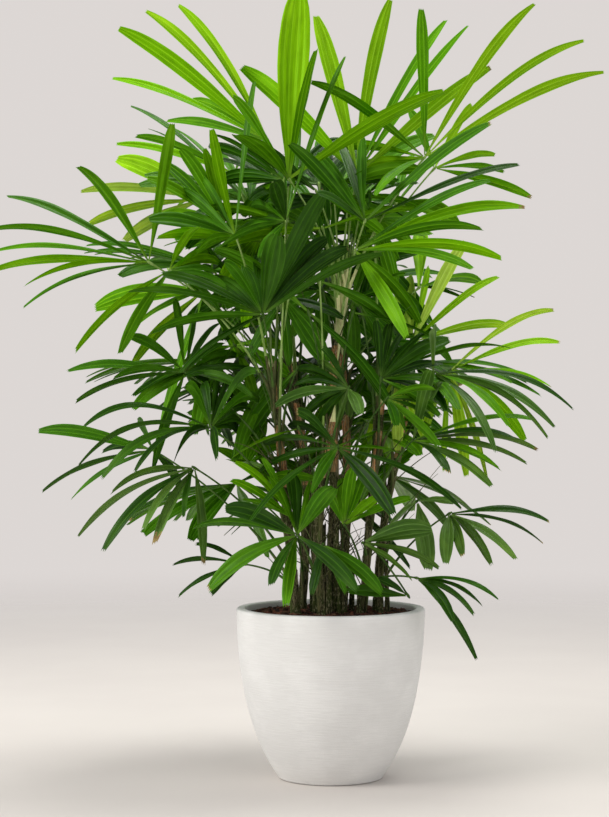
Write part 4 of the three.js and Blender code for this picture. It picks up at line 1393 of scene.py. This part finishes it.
def make_cane(name, rng):
    """A cane wrapped in overlapping fibrous sheaths, pale and green towards its growing tip."""
    curve = curve_of[name]
    length = curve.length()
    rows = int(length / SHEATH_ROW)
    places = np.arange(rows + 1) / rows
    turns = circle(SHEATH_SIDES)
    columns = np.arange(SHEATH_SIDES)
    rims = [SHEATH_START]
    while rims[-1] < length:
        rims.append(rims[-1] + rng.uniform(*SHEATH_SPACING))
    rims = np.array(rims)
    leans = rng.uniform(0, 2 * math.pi, len(rims))
    slants = rng.uniform(*SHEATH_SLANTS, len(rims))
    edges = rims[:, None] + slants[:, None] * np.cos(turns - leans[:, None])
    rings, slots = [], []
    for place, middle, up in zip(places, curve.at(places), places * length, strict=True):
        above = (edges > up).argmax(0)
        below = np.maximum(above - 1, 0)
        span = np.maximum(edges[above, columns] - edges[below, columns], SHEATH_LEAST)
        share = np.clip((up - edges[below, columns]) / span, 0, 1)
        taper = mix(radius_of[name], CANE_TIP, place ** 2)
        flare = mix(CANE_FLARE, 1, min(1, up / CANE_FLARE_HEIGHT))
        fibres = 0.22 * np.sin(9 * turns + above * 2.1 + up / 31) + 0.16 * np.sin(14 * turns - up / 17)
        radius = taper * flare + SHEATH_SWELL * share ** 2.2 + fibres
        rings.append(middle + level_rings(turns, radius, 0))
        every_fourth = int(np.median(above)) % 4 == 0
        weathered = DARK if middle[2] < DARK_BELOW or every_fourth else BROWN
        slots.append(PALE if middle[2] > PALE_FROM else weathered)
    heading = curve.heading(1.0)
    top = rings[rows]
    for step in range(1, SHOOT_STEPS + 1):
        share = step / SHOOT_STEPS
        centre = top.mean(0) + heading * SHOOT_LENGTH * share
        spread = (top - top.mean(0)) * (1 - share) ** 0.8 * (1 - 0.12 * share)
        rings.append(centre + spread + heading * SHOOT_NUDGE)
        slots.append(PALE)
    skin = Skin()
    skin.add_tube(np.array(rings), slots)
    piece = make_piece(f"cane_{name}_sheaths", skin, [BROWN_SHEATH, DARK_SHEATH, PALE_SHEATH])
    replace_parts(piece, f"cane_{name}")


def make_stubs(name, stubs, rng):
    """Short dead stems among the feet of the canes, frayed at the top."""
    skin = Skin()
    turns = circle(STUB_SIDES)
    for (x, y), height, thickness in stubs:
        lean_x, lean_y = rng.normal(0, STUB_LEAN, 2) * height
        rings = []
        for row in range(STUB_ROWS + 1):
            share = row / STUB_ROWS
            fray = rng.uniform(-1, 1, STUB_SIDES) * (0.25 + 1.6 * (share > 0.8))
            radius = thickness * (1.25 - 0.5 * share ** 0.6) + 0.5 * np.sin(5 * turns + x) + fray * 0.5
            up = height * share + fray * 4 * (share > 0.9)
            centre = (x + lean_x * share, y + lean_y * share, 0)
            rings.append(level_rings(turns, radius, SOIL_TOP - 1 + up) + centre)
        skin.add_tube(np.array(rings), 0)
    make_piece(name, skin, [DARK_SHEATH])


FIBRE_SPACING = 2
FIBRE_LENGTHS = (18, 70)
FIBRE_STEPS = 6
FIBRE_RADII = (0.5, 0.16)
FIBRE_START = 0.2
FIBRE_LIFTS = (0.2, 0.9)


def make_fibres(rng):
    """Loose strands that hang on the sheaths, most of them low on the canes."""
    skin = Skin()
    for name, curve in curve_of.items():
        length = curve.length()
        for _ in range(int(length / FIBRE_SPACING)):
            start = rng.beta(0.8, 1.6) * 0.85
            long = rng.uniform(*FIBRE_LENGTHS) / length
            turn = rng.uniform(0, 2 * math.pi)
            wind = rng.normal(0, 0.5)
            lift = rng.uniform(*FIBRE_LIFTS) + rng.exponential(0.9)
            path = []
            for step in range(FIBRE_STEPS + 1):
                share = step / FIBRE_STEPS
                place = min(1, start + long * share)
                away = mix(radius_of[name], CANE_TIP, place ** 2) + FIBRE_START + lift * share ** 2
                path.append(curve.at(place) + level_way(turn + wind * share) * away)
            skin.add_tube(tube_rings(path, np.linspace(*FIBRE_RADII, FIBRE_STEPS + 1), 3), 0)
    make_piece("cane_loose_fibres", skin, [LOOSE_FIBRE])


# ---- Frond pieces ----

# Half the width of a blade along its length, how steeply its sides fold up and how deep it is
# pleated, each as places on the blade and shares there.
BLADE_OUTLINE = (
    (0, 0.06, 0.15, 0.27, 0.4, 0.55, 0.66, 0.8, 0.88, 0.94, 0.98, 1),
    (0.13, 0.2, 0.37, 0.62, 0.84, 0.98, 1, 0.9, 0.76, 0.58, 0.43, 0.34))
BLADE_FOLD = ((0, 0.15, 0.5, 1), (1.1, 0.55, 0.32, 0.2))
BLADE_PLEAT = ((0, 0.3, 1), (0.4, 1, 0.8))

PLEAT_EASE = 1.07  # how much wider a pleated blade is, laid flat, than its span
PLEAT_WIDTH = 8.5
PLEAT_COUNTS = (2, 5)
PLEAT_DEPTH = 0.2
BLADE_ROW = 10
BLADE_ROWS = (12, 30)
TIP_ROWS = (0.91, 0.94, 0.965, 0.985, 1.0)
TOOTH_DEPTHS = (1.5, 4)
SLANT_DEPTHS = (1, 5)
BLUNT_TO = 12  # leaflets up to this many times as long as wide are cut off blunt
POINTED_FROM = 20  # and from this on they end in a point
POINTED_SHARE = 0.6
TWIST = 0.15
FLUTTER = 0.5
BOW = 0.011
GREATEST_BOW = 0.022


def blade_grid(leaflet, rng):
    """The points of one pleated blade with a toothed tip, and its places on the blade map."""
    curve = leaflet_curve(leaflet)
    length = curve.length()
    flat = leaflet_flat(leaflet)
    pleats = int(clamp(round(leaflet["width"] / PLEAT_WIDTH), *PLEAT_COUNTS))
    columns = pleats * 4 + 1
    rows = int(clamp(length / BLADE_ROW, *BLADE_ROWS))
    place = np.concatenate([np.linspace(0, 0.88, rows), TIP_ROWS])
    share = np.linspace(-1, 1, columns)
    across = (share + 1) / 2 * pleats
    tooth = np.abs(np.sin(math.pi * across)) ** 0.7
    slope = rng.uniform(-1, 1)
    teeth = rng.uniform(*TOOTH_DEPTHS) * tooth
    cut = (teeth + rng.uniform(*SLANT_DEPTHS) * (1 + slope * share) / 2) / length
    places = place[:, None] - cut * smooth_step((place[:, None] - 0.8) / 0.2)
    along = curve.heading(places)
    wide = square_to(along, flat)
    normal = np.cross(along, wide)
    if normal[len(place) // 2, columns // 2, 2] < 0:
        normal = -normal
    twist = rng.normal(0, TWIST) * (places - 0.35)
    wide_turned = wide * np.cos(twist)[..., None] + normal * np.sin(twist)[..., None]
    normal = normal * np.cos(twist)[..., None] - wide * np.sin(twist)[..., None]
    half = leaflet["width"] / 2 * PLEAT_EASE * np.interp(place, *BLADE_OUTLINE)
    slender = clamp((length / leaflet["width"] - BLUNT_TO) / (POINTED_FROM - BLUNT_TO), 0, 1)
    half = half * (1 - POINTED_SHARE * slender * smooth_step((place - 0.7) / 0.3))
    half = np.maximum(half, LEAFLET_ROOT / 2 * 0.9)[:, None]
    fold = np.interp(place, *BLADE_FOLD)[:, None]
    pleat = PLEAT_DEPTH * np.interp(place, *BLADE_PLEAT)[:, None] * half / pleats
    bend = half * np.abs(share) * fold - half * fold * 0.45 - pleat * np.cos(2 * math.pi * across)
    flutter = FLUTTER * np.sin(places * rng.uniform(9, 16) + rng.uniform(0, 6)) * share ** 3
    chance_bow = clamp(rng.normal(0, BOW), -GREATEST_BOW, GREATEST_BOW)
    bow = leaflet.get("bow", chance_bow) * length * 4 * places * (1 - places)
    aside = half * share + bow
    hook = length * (0.012 + 0.3 * leaflet["arch"]) * 6.75 * places ** 2 * (1 - places)
    grid = curve.at(places) + wide_turned * aside[..., None] + normal * (bend + flutter)[..., None]
    grid[..., 2] += hook
    return grid, across, places


# The materials of a frond: three shades of its look, then these, the last two being the next
# brighter look as painted light and the next dimmer look as painted shade.
DRY_SLOT, PAINTED_LIGHT_SLOT, PAINTED_SHADE_SLOT = 3, 4, 5
SHADE_CHANCES = (0.45, 0.3, 0.25)
DRY_CHANCES = (0.96, 0.025, 0.015)  # for no, one and two dry rows
CELLS_A_LAYER = 10


def leaflet_rows(skin, leaflet, cell, cells, dry, rng, shade):
    """Adds one leaflet, laid out in its own cell of a sheet of columns and rows of cells."""
    grid, across, places = blade_grid(leaflet, rng)
    rows, columns, _ = grid.shape
    slots = np.full((rows - 1, columns - 1), shade)
    fringe = rng.integers(0, 2, columns - 1)
    for column in range(columns - 1):
        ragged = dry - fringe[column]
        if ragged > 0:
            slots[-ragged:, column] = DRY_SLOT
    whole = np.repeat(across[None], rows, 0)
    blade = np.stack([whole, cell + 0.01 + 0.98 * places], 2).reshape(-1, 2)
    layers = max(1, round(math.sqrt(cells / CELLS_A_LAYER)))
    strips = math.ceil(cells / layers)
    left = (cell % strips + 0.06 + 0.88 * whole / whole.max()) / strips
    up = (cell // strips + 0.01 + 0.98 * places) / layers
    layout = np.stack([left, up], 2).reshape(-1, 2)
    skin.add_sheet(grid, slots, blade.tolist(), layout.tolist())


def first_blade(look, step):
    """The material of the look that is a step brighter or dimmer."""
    rung = BRIGHTNESS.index("mature" if look == "soft" else look)
    return BLADES[BRIGHTNESS[clamp(rung + step, 0, len(BRIGHTNESS) - 1)]][0]


def leaflet_piece(name, fronds, rng):
    """One piece with the leaflets of all the fronds given, which share a tone."""
    skin = Skin()
    tone = fronds[0]["tone"]
    look = LOOK_OF.get(name, tone)
    total = sum(len(frond["kept"]) for frond in fronds)
    cell = 0
    for frond in fronds:
        brighter = PAINTED_LIGHT_LEAFLETS.get(frond["name"], ())
        dimmer = PAINTED_SHADE_LEAFLETS.get(frond["name"], ())
        bows = BOWS.get(frond["name"], {})
        ends = DRY_ENDS.get(frond["name"], {})
        for number, leaflet in enumerate(frond["kept"]):
            if number in bows:
                leaflet["bow"] = bows[number]
            shade = int(rng.choice(3, p=SHADE_CHANCES))
            # A listed leaflet takes the next look up as painted light, the next look down as painted shade.
            if number in brighter:
                shade = PAINTED_LIGHT_SLOT
            elif number in dimmer:
                shade = PAINTED_SHADE_SLOT
            chance_dry = int(rng.choice(3, p=DRY_CHANCES))
            dry = ends.get(number, chance_dry if look in ("mature", "soft", "old") else 0)
            leaflet_rows(skin, leaflet, cell, total, dry, rng, shade)
            cell += 1
    materials = [*BLADES[look], DRY_TIP, first_blade(look, 1), first_blade(look, -1)]
    return make_piece(f"frond_{name}_leaflets", skin, materials)


PALE_HUBS_FROM = 830  # stalks that carry fronds above this height are still pale
PALE_FEET_FROM = 668  # and their feet in the sheaths are pale from here on
STALK_DROPS = (58, 44, 30, 16)
STALK_STEPS = 22
STALK_END = 5
STALK_RADII = ((0, 0.08, 0.2, 0.5, 0.93, 0.97, 1), (1.4, 2.9, 2.5, 1.7, 1.5, 3, 1.2))
STALK_FOOT_SHARE = 0.2


def petiole_path(frond):
    """From inside the sheaths, up along the cane, and out along the petiole's own curve."""
    rings = rings_of[frond["cane"]]
    curve = frond["petiole"]
    start = curve.at(0.0)
    path = []
    for drop in STALK_DROPS:
        height = max(start[2] - drop, SOIL_TOP + 6)
        centre, radius = cane_at(rings, height)
        away = (start - centre) * LEVEL
        hug = radius + PETIOLE_BASE * (0.5 - drop / 80)
        path.append(centre + unit(away) * min(hug, np.linalg.norm(away)))
    path.extend(curve.at(np.linspace(0.03, 1, STALK_STEPS)))
    path.append(path[-1] + unit(path[-1] - path[-2]) * STALK_END)
    return np.array(path)


def make_petioles(cane, fronds):
    """The petioles of one cane, each with a swollen foot and a small knob where its leaflets meet."""
    stalks = [DARK_STALK, PALE_STALK, OLIVE_SHEATH, PALE_SHEATH]
    skin = Skin()
    for frond in fronds:
        path = petiole_path(frond)
        place = np.arange(len(path)) / (len(path) - 1)
        stalk = PALE_STALK if frond["hub"][2] > PALE_HUBS_FROM else DARK_STALK
        foot = PALE_SHEATH if path[0][2] > PALE_FEET_FROM else OLIVE_SHEATH
        slots = [stalks.index(foot if p < STALK_FOOT_SHARE else stalk) for p in place]
        skin.add_tube(tube_rings(path, np.interp(place, *STALK_RADII), 8), slots)
    make_piece(f"petioles_{cane}", skin, stalks)


DRY_COUNT = 80
DRY_REACHES = (60, 190)
DRY_RISES = (0.2, 1.5)
DRY_STEPS = 12


def make_dry_stalks(rng):
    """Thin old stalks that cross among the canes."""
    skin = Skin()
    names = list(CANES)
    for _ in range(DRY_COUNT):
        name = names[int(rng.integers(len(names)))]
        start = curve_of[name].at(rng.uniform(0.1, 0.85))
        out = level_way(rng.uniform(0, 2 * math.pi))
        reach = rng.uniform(*DRY_REACHES)
        rise = rng.uniform(*DRY_RISES)
        foot = start + out * radius_of[name] * 0.6
        tip = foot + out * reach * 0.7 + UP * reach * rise
        middle = mix(foot, tip, 0.5) + UP * reach * 0.12 + np.cross(out, UP) * rng.normal(0, 10)
        path = Arc(foot, middle, tip).at(np.linspace(0, 1, DRY_STEPS))
        radii = np.linspace(rng.uniform(0.9, 1.5), 0.35, DRY_STEPS)
        skin.add_tube(tube_rings(path, radii, 5), int(rng.integers(3)))
    make_piece("dry_stalks", skin, [DARK_STALK, OLIVE_SHEATH, DARK_SHEATH])


# ---- Floor, light and camera ----

FLOOR_SIDES = 96
FLOOR_RADII = (300, 900, 1800, 3200, 5200)
FLOOR_LEVEL = -0.5
FLOOR_FADE = (4.6, 1.0)


def make_floor():
    """A pale round floor that fades out into the backdrop."""
    skin = Skin()
    radii = np.array(FLOOR_RADII, float)[:, None]
    skin.add_points(level_rings(circle(FLOOR_SIDES), radii, FLOOR_LEVEL))
    for row in range(len(FLOOR_RADII) - 1):
        for a, b in ring_sides(row * FLOOR_SIDES, FLOOR_SIDES):
            skin.add_face([a, a + FLOOR_SIDES, b + FLOOR_SIDES, b], 0)
    middle = skin.add_points((0, 0, FLOOR_LEVEL))
    for a, b in ring_sides(0, FLOOR_SIDES):
        skin.add_face([middle, a, b], 0)
    material, tree, shader = new_material("pale floor", 0.2)
    place = object_place(tree)
    away = add_node(tree, "ShaderNodeVectorMath", {0: place}, operation="LENGTH")["Value"]
    patches = remap(tree, noise(tree, place, 3.0, 3.0), 0.3, 0.7)
    fill(tree, shader, {
        "Base Color": blend(tree, patches, (0.65, 0.611, 0.572), (0.63, 0.59, 0.554)),
        "Roughness": 0.75,
        "Alpha": remap(tree, away, *FLOOR_FADE),
    })
    mesh = bpy.data.meshes.new("floor")
    mesh.from_pydata((np.concatenate(skin.points) * MM).tolist(), [], skin.faces)
    mesh.materials.append(material)
    floor = new_object("floor", mesh)


def aim(obj, target):
    to = np.array(target, float) - np.array(obj.location)
    yaw = math.atan2(-to[0], to[1])
    pitch = math.atan2(to[2], math.hypot(to[0], to[1])) + math.pi / 2
    obj.rotation_euler = (pitch, 0, yaw)


# Square lamps: place, the height they are aimed at, size, power and colour.
LAMPS = {
    "window": ((-3.1, -1.45, 2.5), 0.8, 2.0, 110, (1.0, 0.98, 0.95)),
    "skylight": ((0.6, 0.6, 3.5), 0.9, 1.6, 80, (1.0, 1.0, 0.96)),
    "fill": ((2.2, -2.4, 1.1), 0.8, 2.2, 15, (1.0, 0.98, 0.97)),
}
SOFT_LIGHT = 0.62
SOFT_LIGHT_OFF_GLOSS = 0.4  # how much less of it shows in reflections
BACKDROP = (0.72, 0.68, 0.66)


def add_lamp(name, place, height, size, power, tone):
    lamp = bpy.data.lights.new(name, "AREA")
    lamp.shape = "SQUARE"
    lamp.size = size
    lamp.energy = power
    lamp.color = tone
    obj = new_object(name, lamp)
    obj.location = place
    aim(obj, (0, 0, height))


def make_light():
    """An even room light that the camera sees as a plain backdrop, and three lamps."""
    world = bpy.data.worlds.new("studio")
    bpy.context.scene.world = world
    world.use_nodes = True
    tree = world.node_tree
    backdrop = tree.nodes["Background"]
    fill(tree, backdrop.inputs, {"Color": BACKDROP})
    rays = add_node(tree, "ShaderNodeLightPath")
    glossy = times(tree, rays["Is Glossy Ray"], SOFT_LIGHT_OFF_GLOSS)
    strength = calculate(tree, "SUBTRACT", SOFT_LIGHT, glossy)
    soft = add_node(tree, "ShaderNodeBackground", {"Color": (0.98, 0.98, 1.0), "Strength": strength})
    both = {0: rays["Is Camera Ray"], 1: soft[0], 2: backdrop.outputs[0]}
    shown = add_node(tree, "ShaderNodeMixShader", both)
    fill(tree, tree.nodes["World Output"].inputs, {"Surface": shown[0]})
    for name, settings in LAMPS.items():
        add_lamp(name, *settings)
    bpy.context.scene.view_settings.view_transform = "Standard"


def make_camera():
    """Level with the middle of the plant, a little left of the pot's middle."""
    lens = bpy.data.cameras.new("camera")
    lens.lens = 89.7
    lens.sensor_width = 36
    lens.clip_start = 0.05
    obj = new_object("camera", lens)
    obj.location = (-0.044, -3.445, 0.6226)
    obj.rotation_euler = (math.pi / 2, 0, 0)
    bpy.context.scene.camera = obj


# ---- The plant ----

make_camera()
make_light()
make_floor()
make_pot()
make_mulch()

detail = np.random.default_rng(DETAIL_SEED)
for cane_name in CANES:
    make_cane(cane_name, detail)
make_stubs("old_stubs", STUBS, detail)
make_stubs("cluster_stubs", CLUSTER_STUBS, np.random.default_rng(STUB_SEED))
make_fibres(detail)
make_dry_stalks(detail)

frame_fronds = grow_frame_fronds()
inner_fronds = grow_inner_fronds()
finer = make_draws(FINER_SEED)
for grown in frame_fronds:
    add_finer_leaflets(grown, finer)
heart_fronds = grow_heart_fronds()

for grown in frame_fronds:
    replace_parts(leaflet_piece(grown["name"], [grown], detail), f"frond_{grown['name']}")
for grown in inner_fronds:
    leaflet_piece(grown["name"], [grown], detail)
for ring_name, *_ in HEART_RINGS:
    leaflet_piece(ring_name, [grown for grown in heart_fronds if grown["ring"] == ring_name], detail)
for cane_name in CANES:
    carried = [f for f in frame_fronds + inner_fronds + heart_fronds if f["cane"] == cane_name]
    make_petioles(cane_name, carried)
